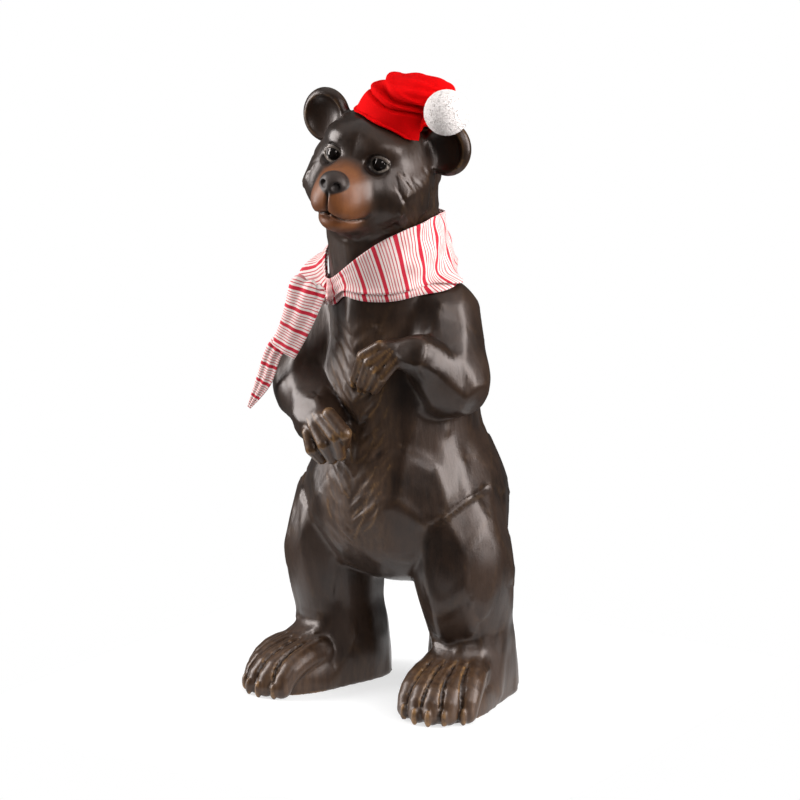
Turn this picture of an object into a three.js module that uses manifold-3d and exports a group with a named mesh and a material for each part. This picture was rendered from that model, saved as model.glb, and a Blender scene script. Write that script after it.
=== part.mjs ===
// Standing bear, cast in one piece with the look of carved wood, in a cap with a pompom and a tied scarf.
// Millimetres. The bear stands on z = 0 and faces -Y, and +X is its own left side.
import * as THREE from "three";
import Module from "manifold-3d";

const { degToRad, clamp, smoothstep } = THREE.MathUtils;

// Stance and head of the figure, angles in degrees
const BOX_SHIFT = 7.2; // brings the middle of the whole over the origin, from where the forms are placed
const SOLE_ALLOWANCE = 8; // what is left under the feet until the soles are cut flat
const HEAD_AT = [6, -42, 684];
const HEAD_YAW = 6; // towards the bear's left
const HEAD_ROLL = 11; // left ear lower
const HEAD_PITCH = 5; // nose down

// Torso: each form is an egg by its middle and half sizes, or a limb by its ends and their radii
const BELLY = { at: [0, 26, 264], half: [127, 121, 122] };
const CHEST = { at: [1, 18, 415], half: [105, 99, 134] };
const NECK = { from: [0, 4, 525], to: [2, -32, 650], radii: [80, 68] };
const KEEL = { from: [0, -66, 520], to: [0, -72, 400], radii: [14, 14] };
const HAUNCH = { at: [70, 56, 236], half: [58, 62, 95] };

// Legs and feet: the right foot stands further forward and is turned out more, on a stouter shin
const THIGH = { at: [100, 10, 188], half: [57, 66, 106] };
const KNEE = { at: [100, 18, 180], radius: 55 };
const LEFT_LEG = { shin: [101, 38, 60], radius: 49, ankle: [100, 38, 0], splay: 11, wider: 6 };
const RIGHT_LEG = { shin: [90, 14, 60], radius: 53, ankle: [84, 12, 0], splay: 20, wider: 0 };
const HEEL = { at: [0, 14, 16], half: [48, 56, 62] };
const INSTEP = { from: [0, 0, 46], to: [0, -88, 20], radii: [48, 34] };
const FOOT_SIDE = { at: [0, -58, 8], half: [50, 78, 42] };
const TOE = {
  root: { at: [15, -62, 50], curve: 0, lean: 0 },
  bend: { at: [18.5, -117, 38], curve: 4, lean: 2 },
  tip: { at: [19, -139, 13], curve: 4.5, lean: 2.5 },
  radii: [16, 16, 13.5],
};
const NAIL = { off: [0, -12, -2], half: [5, 5, 11] };

// Arms, each from the shoulder through the elbow to the wrist, and a paw of four fingers
const LEFT_ARM = {
  shoulder: [74, 0, 498],
  elbow: [104, -22, 426],
  wrist: [96, -83, 465],
  thick: [23, 22],
  knuckles: [[54, -105, 475], [60, -104, 468], [66, -103, 463], [73, -103, 456]],
  bends: [[32, -110, 461], [42, -111, 454], [51, -110, 446], [59, -108, 438]],
  tips: [[10, -96, 427], [20, -97, 421], [28, -96, 419], [38, -94, 417]],
  fingers: [7.5, 8, 6.5],
};
const RIGHT_ARM = {
  shoulder: [-74, -4, 492],
  elbow: [-104, -34, 398],
  wrist: [-52, -84, 368],
  thick: [33, 30],
  knuckles: [[-48, -115, 355], [-39, -114, 365], [-29, -113, 374], [-18, -113, 382]],
  bends: [[-41, -116, 336], [-21, -119, 345], [-4, -119, 356], [7, -116, 361]],
  tips: [[-38, -102, 321], [-20, -104, 324], [-8, -104, 330], [-3, -102, 344]],
  fingers: [9, 10, 8],
};
const ARM_RADII = { shoulder: 50, elbow: 46, knuckles: 16, palm: 15 };
const PALM_DEEP = 11; // from the fingers back to the middle of the palm
const CLAW = { reach: 0.25, radii: [5, 3] };

// Head, in a frame of its own
const SKULL = { at: [0, 10, 6], half: [75, 78, 72] };
const CHEEK = { at: [42, -26, -18], half: [37, 46, 44] };
const JAW = { at: [0, -18, -44], half: [52, 56, 38] };
const BROW = { at: [24, -37, 44], half: [28, 26, 17] };
const FOREHEAD = { at: [0, -36, 44], half: [26, 26, 26] };
const SNOUT = { at: [0, -66, -13], half: [38, 54, 35] };
const LIPS = { at: [12, -83, -25], half: [22, 34, 21] };
const CHIN = { at: [0, -74, -48], half: [28, 33, 17] };
const MOUTH = {
  z: -33.5,
  sag: 8,
  wave: 50,
  corner: 38,
  lift: 4,
  liftSpan: [32, 40],
  wide: 2.6,
  deep: 3.5,
  back: -66,
  fades: { side: 3, back: 8 },
};
const PARTING = { low: -34, high: 2, wide: 2.2, deep: 3, back: -96, fades: { end: 4, back: 6 } };
const NOSE = { at: [0, -106, 1], half: [19, 14, 17] };
const NOSE_TAPER = { least: 0.4, low: -20, high: 5 };
const NOSTRIL = { at: [9, -119, 2], half: [5.2, 8, 5.8] };
const EYE = { at: [32.5, -54, 24], half: [9.5, 9, 9.5] };
const EYE_LINE = 0.05; // the eyes are a little more level than the head
const SOCKET = { at: [32.5, -64, 24], half: [15, 9, 12] };
const EAR = { at: [86, 12, 46], half: [33, 14, 35] };
const EAR_HOLLOW = { at: [86, -3, 45], half: [27, 17, 29] };

// Chevrons of fur carved down the middle of the chest and the belly
const FUR = {
  spacing: 22,
  depth: 2,
  lean: 0.9,
  half: 30,
  low: 215,
  high: 480,
  back: -45,
  fades: { side: 22, back: 10, end: 25 },
};

// Scarf: a strip round the neck, high at the back and drawn together at a knot, with two loose tails
const SCARF_GAP = 2.5; // clear of the bear
const SCARF_THICK = 4;
const SCARF_STEPS = { around: 48, across: 4, tail: 8 };
const KNOT_TURN = -48; // degrees from straight ahead
const FRONT_TURN = 25; // where the band hangs lowest on the chest
const KNOT = { at: [-60, -76, 524], half: [20, 18, 22] };
const NECK_AT = [0, -14]; // middle of the neck at the height of the scarf
const NECK_REACH = [20, 170];
const BAND_TOP = { back: 628, drop: 80, power: 2.2 };
const BAND_BOTTOM = { back: 572, drop: 49, power: 1.3, knotDrop: 37, knotSpan: 43 };

// Behind the knot the band rises and its lower edge stands off the neck, from one turn to another in degrees
const LOOP = { off: 20, rise: 14, from: 10, to: 60, fade: 30 };

// Each tail follows a curve, with its half width at the start, the middle and the end
const TAILS = [
  { path: [[-54, -84, 540], [-66, -95, 520], [-81, -99, 484], [-100, -98, 450]], half: [23, 23, 18] },
  { path: [[-58, -78, 524], [-82, -89, 488], [-116, -93, 440], [-168, -80, 367]], half: [12, 16, 2.5] },
];
const TAIL_ACROSS = [0.94, 0.12, -0.32]; // direction across a tail

// Cap: rings of cloth from the rim up and over to the bear's left, in a frame of its own on top of the head
const CAP_AT = [18, 8, 56]; // in the head's frame
const CAP_LEAN = 6; // further over than the head
const CAP_GAP = 1.5; // clear of the bear
const CAP_THICK = 3;
const CAP_RINGS = [
  { at: [0, 0, 5], half: [55, 50], tilt: 0 },
  { at: [0, 0, 16], half: [54, 50], tilt: 0 },
  { at: [0, 0, 27], half: [50, 48], tilt: 2 },
  { at: [3, 0, 37], half: [45, 45], tilt: 5 },
  { at: [10, 0, 46], half: [40, 41], tilt: 12 },
  { at: [19, 0, 54], half: [35, 36], tilt: 20 },
  { at: [34, 1, 61], half: [27, 28], tilt: 24 },
  { at: [46, 3, 66], half: [18, 19], tilt: 36 },
  { at: [55, 2, 65], half: [11, 12], tilt: 58 },
  { at: [60, -1, 60], half: [6, 6], tilt: 78 },
];
const CAP_TIP = [63, -4, 55];
const LINING_TIP = 0.2; // how far from the last ring to the tip the inside of the cap reaches

// The left ear presses the side of the cap in, where the cap is lower than the ear
const EAR_ROOM = { at: 48, from: -8, slope: 1.2, low: 20, high: 50 };

// Pompom at the end of the cap, in the cap's frame
const POMPOM_RADIUS = 28.5;
const POMPOM_AT = [76, -36, 54];

// How widely each form is blended into the next
const BLEND = {
  trunk: 40, haunch: 30, keel: 22, leg: 30, foot: 24, toe: 4, nail: 1.5, toes: 1.5, toesToFoot: 5,
  arm: 14, paw: 8, finger: 1, claw: 2, fingersToArm: 3, forehead: 12, skull: 20, lips: 12, chin: 5,
  nose: 2.5, socket: 5, eye: 1, ear: 8, earHollow: 2.5, legsToTrunk: 10, armsToTrunk: 10, whole: 14,
};

// Heights beyond which a form is too far away to matter
const LEG_TOP = 430;
const FOOT_TOP = 220;
const ARM_SPAN = [200, 680];
const HEAD_BOTTOM = 500;
const FAR = 120; // stands for the distance to a form that is nowhere near
const AHEAD = -200; // further forward than any of the figure

// How finely the figure is meshed, and how closely its points are brought to the surface
const CELL = 6;
const BLOCK = 4; // cells along a side of the blocks that are looked at first
const BLOCK_REACH = 1.3; // in widths of a block, the furthest that a surface passing through it can be
const EDGE_MARGIN = 0.08; // share of a cell's edge that a point keeps from its ends
const LONGEST_MOVE = 4;
const LEAST_SLOPE = 0.2;
const SETTLING = 8; // moves that bring a point of cloth clear of the bear
const REACH_STEP = 0.05;
const CAP_AROUND = 28;
const KNOT_MESH = [12, 8];
const POMPOM_MESH = [16, 10];
const FIGURE_BOX = [[-205, -195, -20], [205, 165, 815]];
const BEAR_TRIANGLES = 6800;
const EVENNESS = 0.004; // how strongly long edges are kept out while the mesh is thinned
const STEADINESS = 0.35; // least cosine between a face and the same face after a move

const minus = (p, q) => [p[0] - q[0], p[1] - q[1], p[2] - q[2]];
const plus = (p, q) => [p[0] + q[0], p[1] + q[1], p[2] + q[2]];
const times = (p, s) => [p[0] * s, p[1] * s, p[2] * s];
const dot = (p, q) => p[0] * q[0] + p[1] * q[1] + p[2] * q[2];
const cross = (p, q) => [p[1] * q[2] - p[2] * q[1], p[2] * q[0] - p[0] * q[2], p[0] * q[1] - p[1] * q[0]];
const size = (p) => Math.sqrt(dot(p, p));
const between = (p, q, t) => [p[0] + (q[0] - p[0]) * t, p[1] + (q[1] - p[1]) * t, p[2] + (q[2] - p[2]) * t];
const middleOf = (points) => times(points.reduce(plus), 1 / points.length);
const mirrored = (p) => [Math.abs(p[0]), p[1], p[2]];

// Distance functions: negative inside a form, positive outside it
function egg(p, { at, half }) {
  const q = minus(p, at);
  const unit = [q[0] / half[0], q[1] / half[1], q[2] / half[2]];
  const steep = size([unit[0] / half[0], unit[1] / half[1], unit[2] / half[2]]);
  const reach = size(unit);
  return steep > 1e-9 ? (reach * (reach - 1)) / steep : -Math.min(...half);
}

function limb(p, { from, to, radii }) {
  const along = minus(to, from);
  const t = clamp(dot(minus(p, from), along) / dot(along, along), 0, 1);
  return size(minus(p, between(from, to, t))) - radii[0] - (radii[1] - radii[0]) * t;
}

function join(soft, ...forms) {
  return forms.reduce((a, b) => {
    const h = Math.max(soft - Math.abs(a - b), 0) / soft;
    return Math.min(a, b) - (h * h * soft) / 4;
  });
}

const carve = (soft, body, tool) => -join(soft, -body, tool);
const stroke = (phase) => 0.5 - 0.5 * Math.cos(2 * Math.PI * phase);
const window = (t, low, high, fade) =>
  smoothstep(t, low - fade, low) * (1 - smoothstep(t, high, high + fade));
const groove = (t, wide) => Math.exp(-((t / wide) ** 2));

// Turns a point of the figure into the frame of a part that is placed and turned, and back
function frameOf(at, pitch, roll, yaw) {
  const turn = new THREE.Euler(degToRad(pitch), degToRad(roll), degToRad(yaw), "ZYX");
  const e = new THREE.Matrix4().makeRotationFromEuler(turn).elements;
  const axes = [e.slice(0, 3), e.slice(4, 7), e.slice(8, 11)];
  return {
    into: (p) => axes.map((axis) => dot(minus(p, at), axis)),
    out: (q) => plus(at, plus(times(axes[0], q[0]), plus(times(axes[1], q[1]), times(axes[2], q[2])))),
  };
}

function torso(p) {
  const trunk = join(BLEND.trunk, egg(p, BELLY), egg(p, CHEST), limb(p, NECK));
  return join(BLEND.keel, join(BLEND.haunch, trunk, egg(mirrored(p), HAUNCH)), limb(p, KEEL));
}

const legOf = (p) => (p[0] > 0 ? LEFT_LEG : RIGHT_LEG);

function leg(p) {
  if (p[2] > LEG_TOP) return FAR;
  const q = mirrored(p);
  const { shin, radius } = legOf(p);
  return join(BLEND.leg, egg(q, THIGH), limb(q, { from: KNEE.at, to: shin, radii: [KNEE.radius, radius] }));
}

// Five toes, each bent once on the way down to its tip and with a nail
function toes(q) {
  let shape = FAR;
  for (let i = -2; i <= 2; i++) {
    const spot = ({ at, curve, lean }) => [at[0] * i, at[1] + curve * i * i + lean * i, at[2]];
    const [root, bend, tip] = [TOE.root, TOE.bend, TOE.tip].map(spot);
    const upper = limb(q, { from: root, to: bend, radii: TOE.radii.slice(0, 2) });
    const lower = limb(q, { from: bend, to: tip, radii: TOE.radii.slice(1) });
    const nail = egg(q, { at: plus(tip, NAIL.off), half: NAIL.half });
    shape = join(BLEND.toes, shape, join(BLEND.nail, join(BLEND.toe, upper, lower), nail));
  }
  return shape;
}

const FEET = new Map([LEFT_LEG, RIGHT_LEG].map((side) => [side, frameOf(side.ankle, 0, 0, side.splay)]));

function foot(p) {
  if (p[2] > FOOT_TOP) return FAR;
  const side = legOf(p);
  const q = FEET.get(side).into(mirrored(p));
  const heel = egg(q, { at: HEEL.at, half: plus(HEEL.half, [side.wider, side.wider, 0]) });
  const body = join(BLEND.foot, heel, limb(q, INSTEP), egg(q, FOOT_SIDE));
  return Math.max(join(BLEND.toesToFoot, body, toes(q)), -SOLE_ALLOWANCE - p[2]);
}

// Four fingers, each bent once between its knuckle and its tip and ending in a claw
function fingers(p, { knuckles, bends, tips, fingers: radii }) {
  return knuckles.reduce((shape, knuckle, i) => {
    const first = limb(p, { from: knuckle, to: bends[i], radii: radii.slice(0, 2) });
    const second = limb(p, { from: bends[i], to: tips[i], radii: radii.slice(1) });
    const end = between(bends[i], tips[i], 1 + CLAW.reach);
    const claw = limb(p, { from: tips[i], to: end, radii: CLAW.radii });
    return join(BLEND.finger, shape, join(BLEND.claw, Math.min(first, second), claw));
  }, FAR);
}

function arm(p, a) {
  if (p[2] < ARM_SPAN[0] || p[2] > ARM_SPAN[1]) return FAR;
  const row = plus(middleOf(a.knuckles), [0, PALM_DEEP, 0]);
  const hollow = plus(middleOf(a.bends), [0, PALM_DEEP, 0]);
  const upper = limb(p, { from: a.shoulder, to: a.elbow, radii: [ARM_RADII.shoulder, ARM_RADII.elbow] });
  const fore = limb(p, { from: a.elbow, to: a.wrist, radii: [ARM_RADII.elbow, a.thick[0]] });
  const back = limb(p, { from: a.wrist, to: row, radii: [a.thick[1], ARM_RADII.knuckles] });
  const palm = limb(p, { from: row, to: hollow, radii: [ARM_RADII.knuckles, ARM_RADII.palm] });
  const whole = join(BLEND.arm, upper, fore, join(BLEND.paw, back, palm));
  return join(BLEND.fingersToArm, whole, fingers(p, a));
}

const HEAD = frameOf(HEAD_AT, HEAD_PITCH, HEAD_ROLL, HEAD_YAW);
const CAP = frameOf(HEAD.out(CAP_AT), HEAD_PITCH, HEAD_ROLL + CAP_LEAN, HEAD_YAW);

// Muzzle with the smiling mouth and the parting between the lips cut into it
function muzzle(q) {
  const half = mirrored(q);
  const lift = MOUTH.lift * smoothstep(half[0], ...MOUTH.liftSpan);
  const smile = MOUTH.z - MOUTH.sag * stroke(half[0] / MOUTH.wave) + lift;
  const mouthSide = window(half[0], 0, MOUTH.corner, MOUTH.fades.side);
  const mouthFront = window(q[1], AHEAD, MOUTH.back, MOUTH.fades.back);
  const partingSide = window(q[2], PARTING.low, PARTING.high, PARTING.fades.end);
  const partingFront = window(q[1], AHEAD, PARTING.back, PARTING.fades.back);
  const cut = MOUTH.deep * mouthSide * mouthFront * groove(q[2] - smile, MOUTH.wide);
  const parted = PARTING.deep * partingSide * partingFront * groove(q[0], PARTING.wide);
  return join(BLEND.chin, join(BLEND.lips, egg(q, SNOUT), egg(half, LIPS)), egg(q, CHIN)) + cut + parted;
}

// Nose pad, wide above the nostrils and drawn in to the parting below them
function nose(q) {
  const { least, low, high } = NOSE_TAPER;
  const wide = least + (1 - least) * smoothstep(q[2], low, high);
  const pad = wide * egg([q[0] / wide, q[1], q[2]], NOSE);
  return carve(BLEND.nose, pad, egg(mirrored(q), NOSTRIL));
}

function head(p) {
  if (p[2] < HEAD_BOTTOM) return FAR;
  const q = HEAD.into(p);
  const half = mirrored(q);
  const eyes = [half[0], half[1], half[2] - EYE_LINE * q[0]];
  const crown = join(BLEND.forehead, egg(q, SKULL), egg(q, FOREHEAD));
  let shape = join(BLEND.skull, crown, egg(half, CHEEK), egg(q, JAW), egg(half, BROW), muzzle(q));
  shape = join(BLEND.nose, shape, nose(q));
  shape = join(BLEND.eye, carve(BLEND.socket, shape, egg(eyes, SOCKET)), egg(eyes, EYE));
  const ear = carve(BLEND.earHollow, egg(half, EAR), egg(half, EAR_HOLLOW));
  return join(BLEND.ear, shape, ear);
}

function chestFur(p) {
  const out = Math.abs(p[0]);
  const front = window(p[1], AHEAD, FUR.back, FUR.fades.back);
  const side = window(out, 0, FUR.half, FUR.fades.side);
  const place = front * side * window(p[2], FUR.low, FUR.high, FUR.fades.end);
  return FUR.depth * place * stroke((p[2] - FUR.lean * out) / FUR.spacing);
}

function bear(p) {
  const body = join(BLEND.legsToTrunk, torso(p), leg(p)) + chestFur(p);
  const limbs = join(BLEND.armsToTrunk, body, arm(p, LEFT_ARM), arm(p, RIGHT_ARM));
  return join(BLEND.whole, limbs, foot(p), head(p));
}

function slopeAt(p) {
  const step = 0.5;
  return [0, 1, 2].map((k) => {
    const ahead = p.map((value, axis) => value + (axis === k ? step : 0));
    const behind = p.map((value, axis) => value - (axis === k ? step : 0));
    return (bear(ahead) - bear(behind)) / (2 * step);
  });
}

// Moves a point along the slope until it stands at the wanted distance from the bear
function settled(p, wanted, rounds) {
  let q = p;
  for (let i = 0; i < rounds; i++) {
    const slope = slopeAt(q);
    const move = (wanted - bear(q)) / Math.max(dot(slope, slope), LEAST_SLOPE);
    q = plus(q, times(slope, clamp(move, -LONGEST_MOVE, LONGEST_MOVE)));
  }
  return q;
}

// Meshes the bear by marching through tetrahedra, six to a grid cell, where the surface passes
const ORDERS = [[1, 2, 4], [1, 4, 2], [2, 1, 4], [2, 4, 1], [4, 1, 2], [4, 2, 1]];

function polygonize(low, high) {
  const count = [0, 1, 2].map((k) => Math.ceil((high[k] - low[k]) / CELL / BLOCK) * BLOCK + 1);
  const step = [1, count[0], count[0] * count[1]];
  const values = new Float64Array(count[0] * count[1] * count[2]).fill(NaN);
  const place = (i) => [
    low[0] + CELL * (i % count[0]),
    low[1] + CELL * (Math.floor(i / step[1]) % count[1]),
    low[2] + CELL * Math.floor(i / step[2]),
  ];
  const valueAt = (i) => {
    if (Number.isNaN(values[i])) values[i] = bear(place(i));
    return values[i];
  };
  const offset = (bits) => (bits & 1) + (bits & 2 ? step[1] : 0) + (bits & 4 ? step[2] : 0);
  const points = [];
  const faces = [];
  const made = new Map();
  const crossing = (a, b) => {
    const key = Math.min(a, b) * values.length + Math.max(a, b);
    if (!made.has(key)) {
      const t = clamp(values[a] / (values[a] - values[b]), EDGE_MARGIN, 1 - EDGE_MARGIN);
      made.set(key, points.push(between(place(a), place(b), t)) - 1);
    }
    return made.get(key);
  };
  const addFace = (a, b, c, outside) => {
    const normal = cross(minus(points[b], points[a]), minus(points[c], points[a]));
    const out = dot(normal, minus(place(outside), points[a])) > 0;
    faces.push(out ? [a, b, c] : [a, c, b]);
  };
  const meshCell = (base) => {
    let inside = 0;
    for (let bits = 0; bits < 8; bits++) inside += valueAt(base + offset(bits)) < 0;
    if (inside === 0 || inside === 8) return;
    for (const [a, b] of ORDERS) {
      const corners = [0, a, a + b, 7].map((bits) => base + offset(bits));
      const ins = corners.filter((c) => values[c] < 0);
      const outs = corners.filter((c) => values[c] >= 0);
      if (ins.length === 1) addFace(...outs.map((o) => crossing(ins[0], o)), outs[0]);
      if (ins.length === 3) addFace(...ins.map((o) => crossing(o, outs[0])), outs[0]);
      if (ins.length === 2) {
        const ring = [[0, 0], [0, 1], [1, 1], [1, 0]].map(([m, n]) => crossing(ins[m], outs[n]));
        addFace(ring[0], ring[1], ring[2], outs[0]);
        addFace(ring[0], ring[2], ring[3], outs[1]);
      }
    }
  };
  const wide = BLOCK * CELL;
  for (let k = 0; k < count[2] - 1; k += BLOCK)
    for (let j = 0; j < count[1] - 1; j += BLOCK)
      for (let i = 0; i < count[0] - 1; i += BLOCK) {
        const base = i + j * step[1] + k * step[2];
        const middle = plus(place(base), [wide / 2, wide / 2, wide / 2]);
        if (Math.abs(bear(middle)) > BLOCK_REACH * wide) continue;
        for (let n = 0; n < BLOCK ** 3; n++) {
          const [a, b, c] = [n % BLOCK, Math.floor(n / BLOCK) % BLOCK, Math.floor(n / BLOCK / BLOCK)];
          meshCell(base + a + b * step[1] + c * step[2]);
        }
      }
  return { points: points.map((p) => settled(p, 0, 1)), faces };
}

// Joins neighbouring points of a mesh, least change first, until the wanted number of triangles is left
function thinned({ points, faces }, wanted) {
  const around = points.map(() => new Set());
  const errors = points.map(() => new Float64Array(10));
  const age = new Uint32Array(points.length);
  const PAIRS = [[0, 0], [0, 1], [0, 2], [0, 3], [1, 1], [1, 2], [1, 3], [2, 2], [2, 3], [3, 3]];
  const errorAt = (a, b, p) => {
    const q = [...p, 1];
    return PAIRS.reduce((sum, [m, n], k) => {
      return sum + (errors[a][k] + errors[b][k]) * q[m] * q[n] * (m === n ? 1 : 2);
    }, 0);
  };
  faces.forEach((face, f) => {
    const normal = cross(minus(points[face[1]], points[face[0]]), minus(points[face[2]], points[face[0]]));
    const area = Math.max(size(normal), 1e-9);
    const plane = [...times(normal, 1 / area), -dot(normal, points[face[0]]) / area];
    for (const v of face) {
      around[v].add(f);
      PAIRS.forEach(([m, n], k) => (errors[v][k] += plane[m] * plane[n] * area));
    }
  });
  const heap = [];
  const swap = (i, j) => ([heap[i], heap[j]] = [heap[j], heap[i]]);
  const propose = (a, b) => {
    const choices = [points[a], points[b], between(points[a], points[b], 0.5)];
    const costs = choices.map((p) => errorAt(a, b, p));
    const best = costs.indexOf(Math.min(...costs));
    const length = size(minus(points[a], points[b]));
    heap.push({ cost: costs[best] + EVENNESS * length ** 3, a, b, at: choices[best], age: age[a] + age[b] });
    for (let i = heap.length - 1; i > 0 && heap[i].cost < heap[(i - 1) >> 1].cost; i = (i - 1) >> 1) {
      swap(i, (i - 1) >> 1);
    }
  };
  const takeLeast = () => {
    swap(0, heap.length - 1);
    const least = heap.pop();
    for (let i = 0, next = 1; next < heap.length; i = next, next = 2 * i + 1) {
      if (next + 1 < heap.length && heap[next + 1].cost < heap[next].cost) next++;
      if (heap[i].cost <= heap[next].cost) break;
      swap(i, next);
    }
    return least;
  };
  const neighbours = (v) => new Set([...around[v]].flatMap((f) => faces[f]).filter((w) => w !== v));
  const turnsOver = (v, other, at) =>
    [...around[v]].some((f) => {
      if (faces[f].includes(other)) return false;
      const [p, q, r] = faces[f].map((w) => points[w]);
      const [s, t, u] = faces[f].map((w) => (w === v ? at : points[w]));
      const before = cross(minus(q, p), minus(r, p));
      const after = cross(minus(t, s), minus(u, s));
      return dot(before, after) < STEADINESS * size(before) * size(after);
    });
  for (const [a, b, c] of faces) {
    if (a < b) propose(a, b);
    if (b < c) propose(b, c);
    if (c < a) propose(c, a);
  }
  let left = faces.length;
  while (left > wanted && heap.length) {
    const { a, b, at, age: seen } = takeLeast();
    if (!around[a].size || !around[b].size || seen !== age[a] + age[b]) continue;
    const beside = neighbours(b);
    const shared = [...neighbours(a)].filter((v) => beside.has(v));
    if (shared.length !== 2 || turnsOver(a, b, at) || turnsOver(b, a, at)) continue;
    for (const f of around[b]) {
      if (faces[f].includes(a)) {
        for (const v of faces[f]) if (v !== b) around[v].delete(f);
        left--;
      } else {
        faces[f] = faces[f].map((v) => (v === b ? a : v));
        around[a].add(f);
      }
    }
    around[b].clear();
    points[a] = at;
    errors[a].forEach((value, k) => (errors[a][k] = value + errors[b][k]));
    age[a] += 1;
    for (const v of neighbours(a)) propose(a, v);
  }
  const kept = points.map((_, v) => v).filter((v) => around[v].size);
  const renamed = new Map(kept.map((v, i) => [v, i]));
  const alive = faces.filter((face, f) => around[face[0]].has(f));
  return {
    points: kept.map((v) => settled(points[v], 0, 1)),
    faces: alive.map((face) => face.map((v) => renamed.get(v))),
  };
}

// Meshes a row of closed rings, with a point to close each end or with the last ring joined to the first
function lofted(rings, ends) {
  const around = rings[0].length;
  const points = rings.flat();
  const faces = [];
  const at = (i, j) => (i % rings.length) * around + (j % around);
  for (let i = 0; i < rings.length - (ends ? 1 : 0); i++)
    for (let j = 0; j < around; j++) {
      faces.push([at(i, j), at(i, j + 1), at(i + 1, j + 1)], [at(i, j), at(i + 1, j + 1), at(i + 1, j)]);
    }
  if (ends) {
    const first = points.push(ends[0]) - 1;
    const last = points.push(ends[1]) - 1;
    for (let j = 0; j < around; j++) {
      faces.push([first, at(0, j + 1), at(0, j)]);
      faces.push([last, at(rings.length - 1, j), at(rings.length - 1, j + 1)]);
    }
  }
  const volume = faces.reduce((sum, [a, b, c]) => sum + dot(points[a], cross(points[b], points[c])), 0);
  return { points, faces: volume < 0 ? faces.map(([a, b, c]) => [a, c, b]) : faces };
}

function ball({ at, half }, around, rows) {
  const rings = [];
  for (let i = 1; i < rows; i++) {
    const tilt = (Math.PI * i) / rows;
    const ring = [];
    for (let j = 0; j < around; j++) {
      const turn = (2 * Math.PI * j) / around;
      const unit = [Math.sin(tilt) * Math.cos(turn), Math.sin(tilt) * Math.sin(turn), Math.cos(tilt)];
      ring.push(plus(at, [unit[0] * half[0], unit[1] * half[1], unit[2] * half[2]]));
    }
    rings.push(ring);
  }
  return lofted(rings, [plus(at, [0, 0, half[2]]), minus(at, [0, 0, half[2]])]);
}

function onNeck(turn, z, clear) {
  const way = [Math.sin(turn), -Math.cos(turn), 0];
  let [low, high] = NECK_REACH;
  while (high - low > REACH_STEP) {
    const reach = (low + high) / 2;
    if (bear(plus([...NECK_AT, z], times(way, reach))) < clear) low = reach;
    else high = reach;
  }
  return plus([...NECK_AT, z], times(way, high));
}

function scarfBand() {
  const { around, across } = SCARF_STEPS;
  const rings = [];
  for (let i = 0; i < around; i++) {
    const pastKnot = (360 * i) / around;
    const turn = degToRad(KNOT_TURN + pastKnot);
    const fromKnot = (1 + Math.cos(degToRad(pastKnot))) / 2;
    const fromFront = (1 + Math.cos(turn - degToRad(FRONT_TURN))) / 2;
    const nearKnot = 1 - smoothstep(Math.min(pastKnot, 360 - pastKnot), 0, BAND_BOTTOM.knotSpan);
    const drop = BAND_BOTTOM.drop * fromFront ** BAND_BOTTOM.power + BAND_BOTTOM.knotDrop * nearKnot;
    const bottom = BAND_BOTTOM.back - drop;
    const inLoop = window(360 - pastKnot, LOOP.from, LOOP.to, LOOP.fade);
    const top = BAND_TOP.back - BAND_TOP.drop * fromKnot ** BAND_TOP.power + LOOP.rise * inLoop;
    const outer = [];
    const inner = [];
    for (let j = 0; j <= across; j++) {
      const z = bottom + ((top - bottom) * j) / across;
      const loose = LOOP.off * inLoop * (1 - j / across);
      outer.push(onNeck(turn, z, SCARF_GAP + loose + SCARF_THICK));
      inner.unshift(onNeck(turn, z, SCARF_GAP + loose));
    }
    rings.push([...outer, ...inner]);
  }
  return lofted(rings);
}

const clearOfBear = ({ points, faces }) => ({
  points: points.map((p) => (bear(p) < SCARF_GAP ? settled(p, SCARF_GAP, SETTLING) : p)),
  faces,
});

function scarfTail({ path, half }) {
  const curve = new THREE.CatmullRomCurve3(path.map((p) => new THREE.Vector3(...p)));
  const rings = [];
  for (let i = 0; i <= SCARF_STEPS.tail; i++) {
    const t = i / SCARF_STEPS.tail;
    const middle = curve.getPoint(t).toArray();
    const along = curve.getTangent(t).toArray();
    const [start, end, part] = t < 0.5 ? [half[0], half[1], 2 * t] : [half[1], half[2], 2 * t - 1];
    const width = start + (end - start) * part;
    const out = cross(along, TAIL_ACROSS);
    const lift = times(out, SCARF_THICK / 2 / size(out));
    const sides = [-1, 0, 1].map((side) => plus(middle, times(TAIL_ACROSS, side * width)));
    rings.push([...sides.map((p) => plus(p, lift)), ...sides.reverse().map((p) => minus(p, lift))]);
  }
  return lofted(rings, [path[0], path[path.length - 1]]);
}

function besideEar(p, less) {
  const q = HEAD.into(p);
  const room = EAR_ROOM.at - less + EAR_ROOM.slope * Math.max(0, EAR_ROOM.from - q[1]);
  const low = 1 - smoothstep(q[2] - EAR.at[2], EAR_ROOM.low, EAR_ROOM.high);
  return HEAD.out([q[0] - low * Math.max(q[0] - room, 0), q[1], q[2]]);
}

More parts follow.
